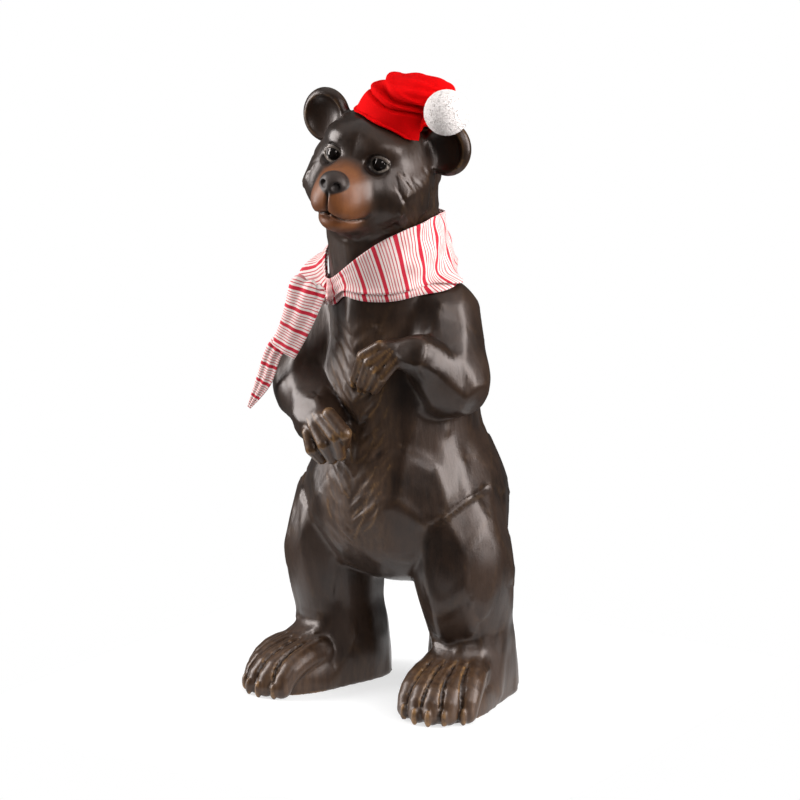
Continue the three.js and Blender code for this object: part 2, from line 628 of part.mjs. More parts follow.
function cap() {
  const ringAt = ({ at, half, tilt }, less, clear) => {
    const lean = degToRad(tilt);
    const ring = [];
    for (let j = 0; j < CAP_AROUND; j++) {
      const turn = (2 * Math.PI * j) / CAP_AROUND;
      const u = (half[0] - less) * Math.cos(turn);
      const v = (half[1] - less) * Math.sin(turn);
      const q = plus(at, [u * Math.cos(lean), v, -u * Math.sin(lean)]);
      const p = besideEar(CAP.out(q), less);
      ring.push(bear(p) < clear ? settled(p, clear, SETTLING) : p);
    }
    return ring;
  };
  const outer = CAP_RINGS.map((ring) => ringAt(ring, 0, CAP_GAP + CAP_THICK));
  const inner = CAP_RINGS.map((ring) => ringAt(ring, CAP_THICK, CAP_GAP));
  const liningTip = between(CAP_RINGS[CAP_RINGS.length - 1].at, CAP_TIP, LINING_TIP);
  return lofted([...outer.reverse(), ...inner], [CAP.out(CAP_TIP), CAP.out(liningTip)]);
}

// Joining and cutting of closed meshes
const wasm = await Module();
wasm.setup();
const solid = ({ points, faces }) =>
  new wasm.Manifold(
    new wasm.Mesh({
      numProp: 3,
      vertProperties: Float32Array.from(points.flat()),
      triVerts: Uint32Array.from(faces.flat()),
    }),
  );

const FLOOR_HALF = 300;
const FLOOR_DEEP = 4 * SOLE_ALLOWANCE;
const FLOOR_CORNERS = [[-1, -1], [1, -1], [1, 1], [-1, 1]];
const floorRing = (z) => FLOOR_CORNERS.map(([x, y]) => [x * FLOOR_HALF, y * FLOOR_HALF, z]);
const floor = solid(lofted([-FLOOR_DEEP, 0].map(floorRing), [[0, 0, -FLOOR_DEEP], [0, 0, 0]]));
const standing = solid(thinned(polygonize(...FIGURE_BOX), BEAR_TRIANGLES));

const pieces = [
  { name: "bear", shape: standing.subtract(floor), color: 0x2b211d, roughness: 0.35 },
  {
    name: "scarf",
    shape: TAILS.reduce(
      (joined, tail) => joined.add(solid(clearOfBear(scarfTail(tail)))),
      solid(scarfBand()).add(solid(clearOfBear(ball(KNOT, ...KNOT_MESH)))),
    ),
    color: 0xd9b3b0,
    roughness: 0.95,
  },
  { name: "hat", shape: solid(cap()), color: 0xc01018, roughness: 0.95 },
  {
    name: "pompom",
    shape: solid(ball({ at: CAP.out(POMPOM_AT), half: Array(3).fill(POMPOM_RADIUS) }, ...POMPOM_MESH)),
    color: 0xf2f0ee,
    roughness: 1,
  },
];

const group = new THREE.Group();
group.position.y = BOX_SHIFT;
for (const { name, shape, color, roughness } of pieces) {
  const { vertProperties, triVerts } = shape.getMesh();
  const geometry = new THREE.BufferGeometry();
  geometry.setAttribute("position", new THREE.Float32BufferAttribute(vertProperties, 3));
  geometry.setIndex(new THREE.Uint32BufferAttribute(triVerts, 1));
  geometry.computeVertexNormals();
  const mesh = new THREE.Mesh(geometry, new THREE.MeshStandardMaterial({ color, roughness, metalness: 0 }));
  mesh.name = name;
  group.add(mesh);
}
export default group;
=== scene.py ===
# Standing bear statue in a cloth cap and a tied scarf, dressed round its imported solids.
# The bear faces -Y and +X is its own left side. Forms are in millimetres, meshes in metres.
import math
from itertools import product

import bmesh
import bpy
import numpy as np
from mathutils import Euler, Matrix, Vector


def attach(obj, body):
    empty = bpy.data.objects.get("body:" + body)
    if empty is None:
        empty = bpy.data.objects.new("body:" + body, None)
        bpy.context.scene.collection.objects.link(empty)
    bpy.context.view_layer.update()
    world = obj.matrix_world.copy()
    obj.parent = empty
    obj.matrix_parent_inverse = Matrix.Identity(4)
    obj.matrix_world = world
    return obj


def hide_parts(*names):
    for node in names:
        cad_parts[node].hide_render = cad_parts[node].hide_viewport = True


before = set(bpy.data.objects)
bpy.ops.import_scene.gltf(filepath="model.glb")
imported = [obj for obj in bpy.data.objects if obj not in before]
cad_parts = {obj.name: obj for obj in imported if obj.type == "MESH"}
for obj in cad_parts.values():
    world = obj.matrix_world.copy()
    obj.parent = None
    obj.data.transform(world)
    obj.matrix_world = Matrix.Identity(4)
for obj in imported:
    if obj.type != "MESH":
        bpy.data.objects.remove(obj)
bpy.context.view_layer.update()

# Bear: one hollow casting taken from a carved wooden figure, so the knife's planes and strokes
# are in it. It is painted dark brown with a tan muzzle, rubbed back to gold on the edges of the
# cuts, and lacquered. It stands on its two flat soles and carries the cap and the scarf.
MM = 0.001
SHIFT = np.array((0, 7.2, 0))  # from where the forms are placed to the middle of the whole
FAR = 120.0  # a distance at which forms no longer join


def length(v):
    return np.linalg.norm(v, axis=1)


def egg(p, at, half):
    """About how far points are from an egg of the given half sizes"""
    unit = (p - at) / half
    reach = length(unit)
    return reach * (reach - 1) / np.maximum(length(unit / half), 1e-9)


def limb(p, start, end, start_radius, end_radius):
    """How far points are from a rounded limb that tapers"""
    start, along = np.asarray(start, float), np.subtract(end, start)
    t = np.clip((p - start) @ along / (along @ along), 0, 1)
    radius = start_radius + (end_radius - start_radius) * t
    return length(p - start - t[:, None] * along) - radius


def join(soft, first, *others):
    """Forms run together, with a blend as wide as soft where they meet"""
    for form in others:
        near = np.maximum(soft - np.abs(first - form), 0) / soft
        first = np.minimum(first, form) - near * near * soft / 4
    return first


def carve(soft, body, tool):
    return -join(soft, -body, tool)


def ease(t, low, high):
    """0 up to the low limit, and smoothly up to 1 at the high one"""
    u = np.clip((t - low) / (high - low), 0, 1)
    return u * u * (3 - 2 * u)


def fade(t, low, high):
    return 1 - ease(t, low, high)


def window(t, low, high, soft):
    """1 between two limits, falling to 0 over a soft edge outside them"""
    return ease(t, low - soft, low) * fade(t, high, high + soft)


def bell(t, wide):
    return np.exp(-(t / wide) ** 2)


def stroke_wave(phase):
    return 0.5 - 0.5 * np.cos(2 * math.pi * phase)


def mirrored(p):
    return np.column_stack((np.abs(p[:, 0]), p[:, 1:]))


def banded(form, p, low, high):
    """The form's distance between two heights, and far away elsewhere"""
    near = (p[:, 2] > low) & (p[:, 2] < high)
    distance = np.full(len(p), FAR)
    if near.any():
        distance[near] = form(p[near])
    return distance


def frame_of(at, pitch, roll, yaw):
    """Ways into and out of the frame of a part that is placed and turned"""
    turn = np.array(Euler([math.radians(a) for a in (pitch, roll, yaw)]).to_matrix())
    return (lambda p: (p - at) @ turn), (lambda q: at + q @ turn.T)


def torso(p):
    belly = egg(p, (0, 26, 264), (127, 121, 122))
    chest = egg(p, (1, 18, 415), (105, 99, 134))
    neck = limb(p, (0, 4, 525), (2, -32, 650), 80, 68)
    keel = limb(p, (0, -66, 520), (0, -72, 400), 14, 14)
    haunch = egg(mirrored(p), (70, 56, 236), (58, 62, 95))
    return join(22, join(30, join(40, belly, chest, neck), haunch), keel)


into_left_foot, out_of_left_foot = frame_of(np.array((100, 38, 0)), 0, 0, 11)
into_right_foot, out_of_right_foot = frame_of(np.array((84, 12, 0)), 0, 0, 20)


def leg(p):
    q = mirrored(p)
    left = limb(q, (100, 18, 180), (101, 38, 60), 55, 49)
    right = limb(q, (100, 18, 180), (90, 14, 60), 55, 53)
    return join(30, egg(q, (100, 10, 188), (57, 66, 106)), np.where(p[:, 0] > 0, left, right))


TOES = range(-2, 3)


def toe_arch(i, t):
    """Points on the arch of a toe, counted from the middle one, from its root to its tip"""
    root = np.array((15.0 * i, -62, 50))
    bend = np.array((18.5 * i, -117 + 4 * i * i + 2 * i, 38))
    tip = np.array((19.0 * i, -139 + 4.5 * i * i + 2.5 * i, 13))
    t = t[:, None]
    return (1 - t) * (1 - 2 * t) * root + 4 * t * (1 - t) * bend + t * (2 * t - 1) * tip


ARCH = np.linspace(0, 1, 6)
TOE_RADII = 16 - 2.5 * ARCH ** 2


def toes(q):
    shape = np.full(len(q), FAR)
    near = (q[:, 1] < -25) & (q[:, 2] < 105)
    p = q[near]
    for i in TOES:
        arch = toe_arch(i, ARCH)
        bones = zip(arch, arch[1:], TOE_RADII, TOE_RADII[1:])
        toe = np.minimum.reduce([limb(p, *bone) for bone in bones])
        nail = egg(p, arch[-1] + (0, -12, -2), (5, 5, 11))
        shape[near] = join(1.5, shape[near], join(1.5, toe, nail))
    return shape


def into_foot(p):
    """Points in the frame of the foot on their own side"""
    q = mirrored(p)
    return np.where((p[:, 0] > 0)[:, None], into_left_foot(q), into_right_foot(q))


def foot(p):
    q = into_foot(p)
    wide = np.where(p[:, 0] > 0, 6, 0)
    heel = egg(q, (0, 14, 16), np.column_stack((48 + wide, 56 + wide, 62 + 0 * wide)))
    instep = limb(q, (0, 0, 46), (0, -88, 20), 48, 34)
    side = egg(q, (0, -58, 8), (50, 78, 42))
    shape = join(5, join(24, heel, instep, side), toes(q))
    return np.maximum(shape, -p[:, 2])


ARMS = (  # left and right, with radii of the wrist and the paw, and along the fingers
    {"shoulder": (74, 0, 498), "elbow": (104, -22, 426), "wrist": (96, -83, 465),
     "knuckles": ((54, -105, 475), (60, -104, 468), (66, -103, 463), (73, -103, 456)),
     "bends": ((32, -110, 461), (42, -111, 454), (51, -110, 446), (59, -108, 438)),
     "tips": ((10, -96, 427), (20, -97, 421), (28, -96, 419), (38, -94, 417)),
     "thick": (23, 22), "fingers": (7.5, 8, 6.5)},
    {"shoulder": (-74, -4, 492), "elbow": (-104, -34, 398), "wrist": (-52, -84, 368),
     "knuckles": ((-48, -115, 355), (-39, -114, 365), (-29, -113, 374), (-18, -113, 382)),
     "bends": ((-41, -116, 336), (-21, -119, 345), (-4, -119, 356), (7, -116, 361)),
     "tips": ((-38, -102, 321), (-20, -104, 324), (-8, -104, 330), (-3, -102, 344)),
     "thick": (33, 30), "fingers": (9, 10, 8)},
)
PALM_DEEP = np.array((0, 11, 0))  # from the fingers back to the middle of the palm


def fingers(p, arm):
    shape = np.full(len(p), FAR)
    at_knuckle, at_bend, at_tip = arm["fingers"]
    for knuckle, bend, tip in zip(arm["knuckles"], arm["bends"], arm["tips"]):
        first = limb(p, knuckle, bend, at_knuckle, at_bend)
        second = limb(p, bend, tip, at_bend, at_tip)
        claw = limb(p, tip, np.add(tip, np.subtract(tip, bend) * 0.25), 5, 3)
        shape = join(1, shape, join(2, np.minimum(first, second), claw))
    return shape


def arm_form(p, arm):
    upper = limb(p, arm["shoulder"], arm["elbow"], 50, 46)
    fore = limb(p, arm["elbow"], arm["wrist"], 46, arm["thick"][0])
    knuckles, bends = np.mean(arm["knuckles"], axis=0), np.mean(arm["bends"], axis=0)
    back = limb(p, arm["wrist"], knuckles + PALM_DEEP, arm["thick"][1], 16)
    palm = limb(p, knuckles + PALM_DEEP, bends + PALM_DEEP, 16, 15)
    return join(3, join(14, upper, fore, join(8, back, palm)), fingers(p, arm))


HEAD_AT = np.array((6, -42, 684.0))
HEAD_TURN = (5, 11, 6)  # nose down, left ear lower, towards the bear's left
into_head, out_of_head = frame_of(HEAD_AT, *HEAD_TURN)
EYE = np.array((32.5, -54, 24.0))
EYE_HALF = np.array((9.5, 9, 9.5))
EYE_LINE = 0.05  # the carver set the eyes a little more level than the head
LID_HALF = (12.0, 9.0)
EAR = np.array((86, 12, 46.0))
NOSE_AT, NOSE_HALF = np.array((0, -106, 1.0)), np.array((19, 14, 17))
NOSTRIL_AT, NOSTRIL_HALF = np.array((9.0, -119, 2.0)), np.array((5.2, 8, 5.8))


def mouth_line(q):
    """How much of the mouth's crease, and of the parting under the nose, is at each point"""
    out = np.abs(q[:, 0])
    smile = -33.5 - 8 * stroke_wave(out / 50) + 4 * ease(out, 32, 40)
    crease = bell(q[:, 2] - smile, 2) * fade(out, 38, 41) * fade(q[:, 1], -66, -58)
    parting = bell(q[:, 0], 1.8) * window(q[:, 2], -34, 2, 4) * fade(q[:, 1], -96, -90)
    return crease, parting


def muzzle(q):
    half = mirrored(q)
    snout = egg(q, (0, -66, -13), (38, 54, 35))
    lips = egg(half, (12, -83, -25), (22, 34, 21))
    chin = egg(q, (0, -74, -48), (28, 33, 17))
    crease, parting = mouth_line(q)
    return join(5, join(12, snout, lips), chin) + 3.5 * crease + 3 * parting


def nose(q, grown=0.0):
    """The nose pad, wide above the nostrils and drawn in to the parting below them"""
    wide = 0.4 + 0.6 * ease(q[:, 2], -20, 5)
    squeezed = np.column_stack((q[:, 0] / wide, q[:, 1:]))
    return egg(squeezed, NOSE_AT, NOSE_HALF + grown) * wide


def by_eye(q):
    """Head coordinates mirrored about its middle, in line with the eyes"""
    half = mirrored(q)
    half[:, 2] -= EYE_LINE * q[:, 0]
    return half


def eyelids(eyes):
    """A thin rolled rim round the eye, long at its corners and thicker above"""
    q = eyes - EYE
    ring = (np.hypot(q[:, 0] / LID_HALF[0], q[:, 2] / LID_HALF[1]) - 1) * LID_HALF[1]
    deep = q[:, 1] + 5.2 - 0.05 * np.abs(q[:, 0]) ** 1.6
    return np.hypot(ring, deep) - 1.0 - 0.6 * ease(q[:, 2], -3, 6)


def head(p):
    q = into_head(p)
    half, eyes = mirrored(q), by_eye(q)
    skull = egg(q, (0, 10, 6), (75, 78, 72))
    cheek = egg(half, (42, -26, -18), (37, 46, 44))
    jaw = egg(q, (0, -18, -44), (52, 56, 38))
    brow = egg(half, (24, -37, 44), (28, 26, 17))
    forehead = egg(q, (0, -36, 44), (26, 26, 26))
    shape = join(20, join(12, skull, forehead), cheek, jaw, brow)
    shape = join(20, shape, muzzle(q))
    shape = join(2.5, shape, carve(2.5, nose(q), egg(half, NOSTRIL_AT, NOSTRIL_HALF)))
    socket = egg(eyes, EYE + (0, -10, 0), (15, 9, 12))
    shape = join(1, carve(5, shape, socket), egg(eyes, EYE, EYE_HALF))
    shape = join(1.2, shape, eyelids(eyes))
    ear = carve(2.5, egg(half, EAR, (33, 14, 35)), egg(half, EAR + (0, -15, -1), (27, 17, 29)))
    return join(8, shape, ear)


def on_chest(p, half, soft):
    """Where the strip of fur down the chest and belly is"""
    across = fade(np.abs(p[:, 0]), half, half + soft)
    return fade(p[:, 1], -45, -35) * across * window(p[:, 2], 215, 480, 25)


def chest_fur(p):
    return 2 * on_chest(p, 30, 22) * stroke_wave((p[:, 2] - 0.9 * np.abs(p[:, 0])) / 22)


def bear(p):
    body = join(10, torso(p), banded(leg, p, -50, 430)) + chest_fur(p)
    for arm in ARMS:
        body = join(10, body, banded(lambda q: arm_form(q, arm), p, 200, 680))
    body = join(32, body, banded(foot, p, -50, 220))
    return join(14, body, banded(head, p, 500, 900))


def slope(form, p, step=0.4):
    """Unit direction in which the distance to a form grows, and how fast it grows"""
    parts = [(form(p + step * axis) - form(p - step * axis)) / (2 * step) for axis in np.eye(3)]
    way = np.column_stack(parts)
    steep = np.maximum(length(way), 0.45)
    return way / steep[:, None], steep


def settled(p, wanted=0.0, rounds=1, most=4.0):
    """Points moved along the slope until they stand at the wanted distance from the bear"""
    for _ in range(rounds):
        way, steep = slope(bear, p)
        p = p + way * np.clip((wanted - bear(p)) / steep, -most, most)[:, None]
    return p


def surface(low, high, cell, block):
    """Points and quads of the bear's surface, one point in each grid cell that it passes through"""
    low = np.asarray(low, float)
    count = [int(math.ceil((h - l) / cell / block)) * block for l, h in zip(low, high)]
    grid = np.stack(np.meshgrid(*[np.arange(n) for n in count], indexing="ij"), -1)
    middles = grid[block // 2::block, block // 2::block, block // 2::block]
    coarse = bear((low + cell * middles).reshape(-1, 3)).reshape(middles.shape[:3])
    values = coarse.repeat(block, 0).repeat(block, 1).repeat(block, 2)
    near = np.abs(values) < 1.5 * block * cell
    values[near] = bear(low + cell * grid[near])
    total, uses = np.zeros((values.size, 3)), np.zeros(values.size)
    quads = []
    for axis in range(3):
        first = np.delete(values, -1, axis)
        second = np.delete(values, 0, axis)
        at = np.argwhere((first < 0) != (second < 0))
        start, end = first[tuple(at.T)], second[tuple(at.T)]
        points = low + cell * (at + np.eye(3)[axis] * (start / (start - end))[:, None])
        _, u, v = np.roll(np.eye(3, dtype=int), -axis, 0)
        cells = [at - a * u - b * v for a, b in ((0, 0), (1, 0), (1, 1), (0, 1))]
        corners = [np.ravel_multi_index(cell_at.T, count) for cell_at in cells]
        for corner in corners:
            np.add.at(total, corner, points)
            np.add.at(uses, corner, 1)
        quad = np.column_stack(corners)
        quad[start >= 0] = quad[start >= 0][:, ::-1]
        quads.append(quad)
    kept, renamed = np.unique(np.concatenate(quads), return_inverse=True)
    return total[kept] / uses[kept][:, None], renamed.reshape(-1, 4)


def neighbours_of(faces):
    """The two ends of every edge, each way round"""
    pairs = [(f[i - 1], f[i]) for f in faces for i in range(len(f))]
    pairs = np.unique(np.sort(np.array(pairs), axis=1), axis=0)
    return np.concatenate((pairs, pairs[:, ::-1])).T


def evened(p, neighbours, rounds):
    """Points spread evenly along the surface"""
    a, b = neighbours
    uses = np.maximum(np.bincount(a, minlength=len(p)), 1)[:, None]
    for _ in range(rounds):
        total = np.zeros_like(p)
        np.add.at(total, a, p[b])
        move = total / uses - p
        way, _ = slope(bear, p)
        p = settled(p + 0.6 * (move - way * (move * way).sum(1)[:, None]))
    return p


def refined(points, faces, chosen):
    """The mesh with the chosen faces cut in four"""
    net = bmesh.new()
    for p in points:
        net.verts.new(p)
    net.verts.ensure_lookup_table()
    for face in faces:
        net.faces.new([net.verts[i] for i in face])
    net.faces.ensure_lookup_table()
    edges = {edge for i in np.flatnonzero(chosen) for edge in net.faces[i].edges}
    edges = sorted(edges, key=lambda e: e.index)
    bmesh.ops.subdivide_edges(net, edges=edges, cuts=1, use_grid_fill=True)
    net.verts.index_update()
    points = np.array([v.co for v in net.verts])
    faces = [[v.index for v in f.verts] for f in net.faces]
    net.free()
    return points, faces


FACE_FROM = 560  # the lowest height of the face's finer mesh


def fine_zone(p):
    """Where the carving is small: the face and ears, the paws, the toes and the chest"""
    face = (p[:, 2] > FACE_FROM) & (into_head(p)[:, 1] < 34)
    paws = np.minimum(*[fingers(p, arm) for arm in ARMS]) < 12
    toe_part = (p[:, 2] < 75) & (into_foot(p)[:, 1] < -58)
    chest = (np.abs(p[:, 0]) < 58) & (p[:, 1] < -48) & (p[:, 2] > 205) & (p[:, 2] < 500)
    return face | paws | toe_part | chest


def finest_zone(p):
    """Where it is smallest: the eyes, the nose and the mouth"""
    q = into_head(p)
    eye_part = egg(mirrored(q), EYE, (20, 17, 19)) < 0
    mouth = egg(q, (0, -104, -16), (46, 48, 38)) < 0
    return (p[:, 2] > FACE_FROM) & (eye_part | mouth)


CELL, BLOCK = 4.65, 4  # a grid cell, and how many along a block that is tried first
GRID_LOW, GRID_HIGH = (-205.3, -195.7, -12.9), (205, 165, 815)
points, faces = surface(GRID_LOW, GRID_HIGH, CELL, BLOCK)
points = evened(settled(points, rounds=2), neighbours_of(faces), 2)
for zone in (fine_zone, finest_zone):
    middles = np.array([points[face].mean(0) for face in faces])
    points, faces = refined(points, faces, zone(middles))
    points = settled(points)
points = evened(settled(points), neighbours_of(faces), 1)
normals, _ = slope(bear, points)

# The knife's planes: each flat cut is the plane through the middle of a patch of the surface
PLANE_SPACING, PLANE_SPREAD = 40.0, (0.8, 1.5)
PLANE_TRIES = 9000
PLANE_TURN = 40.0  # how strongly a patch keeps to one facing
PLANE_LONG = (0.28, 0.62)  # patches are longer on the legs than on the body
PLANE_SOFT, PLANE_DEPTH = 9.0, 3.5
PLANE_CUTS, CUT_ODDS = (0.15, 0.5, 0.95), (0.2, 0.3, 0.5)  # how fully one is cut, how often
RIDGE_WIDE = 1.6
KNEE = 230


def knife_planes(p, n):
    """How far each point moves on to its plane, and how near the edge of two planes is"""
    rng = np.random.default_rng(7)
    legs, body = PLANE_LONG
    height = legs * np.minimum(p[:, 2], KNEE) + body * np.maximum(p[:, 2] - KNEE, 0)
    q = np.column_stack((p[:, :2], height, n * PLANE_TURN))
    chosen = []
    for i in rng.permutation(len(p))[:PLANE_TRIES]:
        room = PLANE_SPACING * rng.uniform(*PLANE_SPREAD)
        if not chosen or length(q[chosen] - q[i]).min() > room:
            chosen.append(i)
    seeds = q[chosen]
    first, second = np.zeros(len(p), int), np.zeros(len(p), int)
    for part in np.array_split(np.arange(len(p)), 40):  # a few at a time, to save memory
        gaps = ((q[part, None] - seeds) ** 2).sum(2)
        two = np.argpartition(gaps, 1, axis=1)[:, :2]
        order = np.take_along_axis(gaps, two, 1).argsort(1)
        first[part], second[part] = np.take_along_axis(two, order, 1).T

    def over_patches(values):
        return np.column_stack([np.bincount(first, values[:, k], len(seeds)) for k in range(3)])

    size = np.bincount(first, minlength=len(seeds))[:, None]
    middle, facing = over_patches(p) / np.maximum(size, 1), over_patches(n)
    facing /= np.maximum(length(facing), 1e-9)[:, None]
    apart = length(seeds[first] - seeds[second])
    edge = (((q - seeds[second]) ** 2).sum(1) - ((q - seeds[first]) ** 2).sum(1)) / (2 * apart)
    share = 0.5 * fade(edge, 0, PLANE_SOFT)
    cut = rng.choice(PLANE_CUTS, len(seeds), p=CUT_ODDS)
    moves = []
    for cell in (first, second):
        fall = np.maximum((n * facing[cell]).sum(1), 0.6)
        move = ((middle[cell] - p) * facing[cell]).sum(1) / fall
        moves.append(cut[cell] * PLANE_DEPTH * np.tanh(move / PLANE_DEPTH))
    return moves[0] * (1 - share) + moves[1] * share, bell(edge, RIDGE_WIDE)


HEAD_FROM = 580  # the head's own carving starts at this height
q_head, on_head = into_head(points), points[:, 2] > HEAD_FROM
half_head, eyes = mirrored(q_head), by_eye(q_head)


def head_only(gap):
    """A distance on the head, and far away below it"""
    return np.where(on_head, gap, FAR)


paw_gap = np.minimum(*[fingers(points, arm) for arm in ARMS])
arm_gap = np.minimum(*[arm_form(points, arm) for arm in ARMS])
muzzle_gap = head_only(egg(q_head, (0, -70, -10), (56, 60, 50)))
eye_gap = head_only(egg(eyes, EYE, EYE_HALF))
on_toes = fade(points[:, 2], 56, 92) * fade(into_foot(points)[:, 1], -96, -40)
face_part = np.maximum(fade(muzzle_gap, -4, 10), fade(eye_gap, 8, 20))
ears = np.where(on_head, fade(egg(half_head, EAR, (33, 16, 33)), 0, 12), 0)
cheeks = ease(half_head[:, 0], 40, 52) * fade(q_head[:, 2], 10, 30)
neck, back = fade(q_head[:, 2], -84, -66), ease(q_head[:, 1], -30, 40)
plain = (1 - face_part) * (1 - ears) * ease(paw_gap, 2, 14) * (1 - on_toes)
plain *= np.where(on_head, 0.2 + 0.8 * np.maximum.reduce((cheeks, neck, back)), 1)
plain *= 0.8 + 0.2 * ease(arm_gap, 4, 16)
lift, ridge = knife_planes(points, normals)
under_scarf = window(points[:, 2], 500, 632, 8)
lift = np.minimum(lift, 4 - 3.4 * under_scarf)  # the cloth lies close there
sole = ease(points[:, 2], 0, 5)
points = points + normals * (lift * plain * sole)[:, None]

# The knife's strokes: thin leaves of fur on the chest and cheeks, and the deeper creases
RIM_WIDE = 1.3


def knife_strokes(p, n, strokes):
    """Depth of the leaf-shaped strokes at each point, and how near it is to a rubbed rim"""
    depth, rim = np.zeros(len(p)), np.zeros(len(p))
    for start, end, wide, deep, shine in strokes:
        along = end - start
        reach = np.linalg.norm(along) / 2 + 2 * wide
        near = np.flatnonzero(np.abs(p - (start + end) / 2).max(1) < reach)
        t = np.clip((p[near] - start) @ along / (along @ along), 0, 1)
        gap = p[near] - start - t[:, None] * along
        high = (gap * n[near]).sum(1)
        aside = length(gap - high[:, None] * n[near])
        half = wide * np.sin(math.pi * np.clip(t, 0.03, 0.97)) ** 0.6
        upper = ease((gap * np.cross(along, n[near])).sum(1) * np.sign(along[0]), -1, 1)
        here = fade(np.abs(high), 12, 17)
        hollow = deep * here * np.clip(1 - (aside / half) ** 2, 0, 1)
        rubbed = shine * upper * here * bell(aside - half, RIM_WIDE)
        depth[near] = np.maximum(depth[near], hollow)
        rim[near] = np.maximum(rim[near], rubbed)
    return depth, rim


def on_front(x, z):
    """The point of the body's front at a given place, with its back and the arms set aside"""
    apart = np.hypot(points[:, 0] - x, points[:, 2] - z)
    return points[(apart + 200 * (normals[:, 1] > -0.2) + 90 * (arm_gap < 8)).argmin()]


def laid(spots):
    """Points moved on to the surface"""
    return settled(spots, rounds=8, most=8)


def chest_strokes():
    """Leaf-shaped strokes that lean out from the middle of the chest and belly, row above row"""
    rng = np.random.default_rng(3)
    strokes = []
    for row, side, column in product(range(9), (-1, 1), range(2)):
        x = side * (3 + 15 * column + rng.uniform(-2, 3))
        z = 420 - 25 * row + 12 * column + rng.uniform(-6, 6)
        long = rng.uniform(36, 58) - 8 * column
        lean = math.radians(rng.uniform(18, 34) + 6 * column)
        tip = (x + side * long * math.sin(lean), z + long * math.cos(lean))
        wide, deep = rng.uniform(4, 6.5), rng.uniform(0.4, 0.9) - 0.15 * column
        shine = rng.uniform(0.05, 0.35)
        strokes.append((on_front(x, z), on_front(*tip), wide, deep, shine))
    return strokes


def cheek_strokes():
    """Short strokes of fur that run down and back over each cheek and the jaw, row behind row"""
    rng = np.random.default_rng(11)
    strokes = []
    for row, step, side in product(range(6), range(6), (-1, 1)):
        start = np.array((side * (50 + 6 * row), -44 + 13 * row, 14 - 15 * step))
        start = start + rng.uniform(-5, 5, 3)
        way = np.array((side * 0.25, 0.45, -0.85)) + rng.uniform(-0.12, 0.12, 3)
        end = start + way * rng.uniform(20, 34)
        wide, deep = rng.uniform(2.5, 4.5), rng.uniform(0.6, 1.4)
        spots = laid(out_of_head(np.array((start, end))))
        strokes.append((*spots, wide, deep, rng.uniform(0, 0.08)))
    return strokes


THIGH_FOLD = np.linspace((100.0, -54, 243), (130, 22, 281), 7)


def groove(path, wide, deep, shine):
    """Strokes that overlap along a path laid on the surface"""
    path = laid(path)
    steps = np.diff(path, axis=0) / 2
    return [(a - step, b + step, wide, deep, shine) for a, b, step in zip(path, path[1:], steps)]


def creases():
    """The folds above the thighs, a thin stroke down each finger, and the gaps of the toes"""
    cuts = []
    for side in (-1, 1):
        cuts += groove(THIGH_FOLD * (side, 1, 1), 5, 4, 0.08)
    for arm in ARMS:
        for finger in zip(arm["knuckles"], arm["bends"], arm["tips"]):
            cuts += groove(np.array(finger, float) - PALM_DEEP, 3, 0.4, 0.35)
    for out_of_foot, side in ((out_of_left_foot, 1), (out_of_right_foot, -1)):
        for i in TOES[:-1]:
            gap = out_of_foot(toe_arch(i + 0.5, ARCH[1:]) + (0, 0, 14)) * (side, 1, 1)
            cuts += groove(gap, 3.4, 3.4, 0.4)
    return cuts


off_arms = ease(arm_gap, 3, 8)
depth, rim = np.zeros(len(points)), np.zeros(len(points))
carving = ((chest_strokes(), off_arms), (cheek_strokes(), 1 - face_part), (creases(), 1))
for strokes, share in carving:
    cut, edge = knife_strokes(points, normals, strokes)
    depth, rim = np.maximum(depth, cut * share), np.maximum(rim, edge * share)
points = points - normals * depth[:, None]
points[:, 2] = np.maximum(points[:, 2], 0)


def bend_of(p, n, neighbours, rounds=4):
    """How sharply the surface bends at each point: above nothing on edges, below it in hollows"""
    a, b = neighbours
    uses = np.maximum(np.bincount(a, minlength=len(p)), 1)
    gap, total = p[b] - p[a], np.zeros_like(p)
    np.add.at(total, a, gap)
    long = np.bincount(a, (gap ** 2).sum(1), len(p))
    bend = -2 * (total * n).sum(1) / np.maximum(long, 1e-6)
    for _ in range(rounds):
        bend = 0.5 * bend + 0.5 * np.bincount(a, bend[b], len(p)) / uses
    return bend


# Where each colour of paint goes, with painted shade in the hollows and a painted highlight on the
# lid rims
crease, parting = mouth_line(q_head)
lid_gap, nose_gap = head_only(eyelids(eyes)), head_only(nose(q_head, 1.5))
tan_gap = head_only(egg(q_head, (0, -92, -18), (40, 50, 47)))
nostril_gap = head_only(egg(half_head, NOSTRIL_AT, NOSTRIL_HALF + 1))
eye_mask = fade(eye_gap, 0.2, 0.7)
from_eye = eyes - EYE
within_lids = fade(np.hypot(from_eye[:, 0] / 15, from_eye[:, 2] / 12), 0.85, 1.15)
within_lids = np.where(on_head & (q_head[:, 1] < -20), within_lids, 0)
below = fade(from_eye[:, 2], -4, 0) * ease(from_eye[:, 0], -2, 4)
tan = fade(tan_gap, -15, 6)
fur = off_arms * on_chest(points, 40, 20)
by_floor = fade(points[:, 2], 12, 48)
bend = bend_of(points, normals, neighbours_of(faces))
worn = ease(bend, 0.07, 0.15) * np.clip(fade(paw_gap, 2, 6) + on_toes + 0.8 * ears, 0, 1)
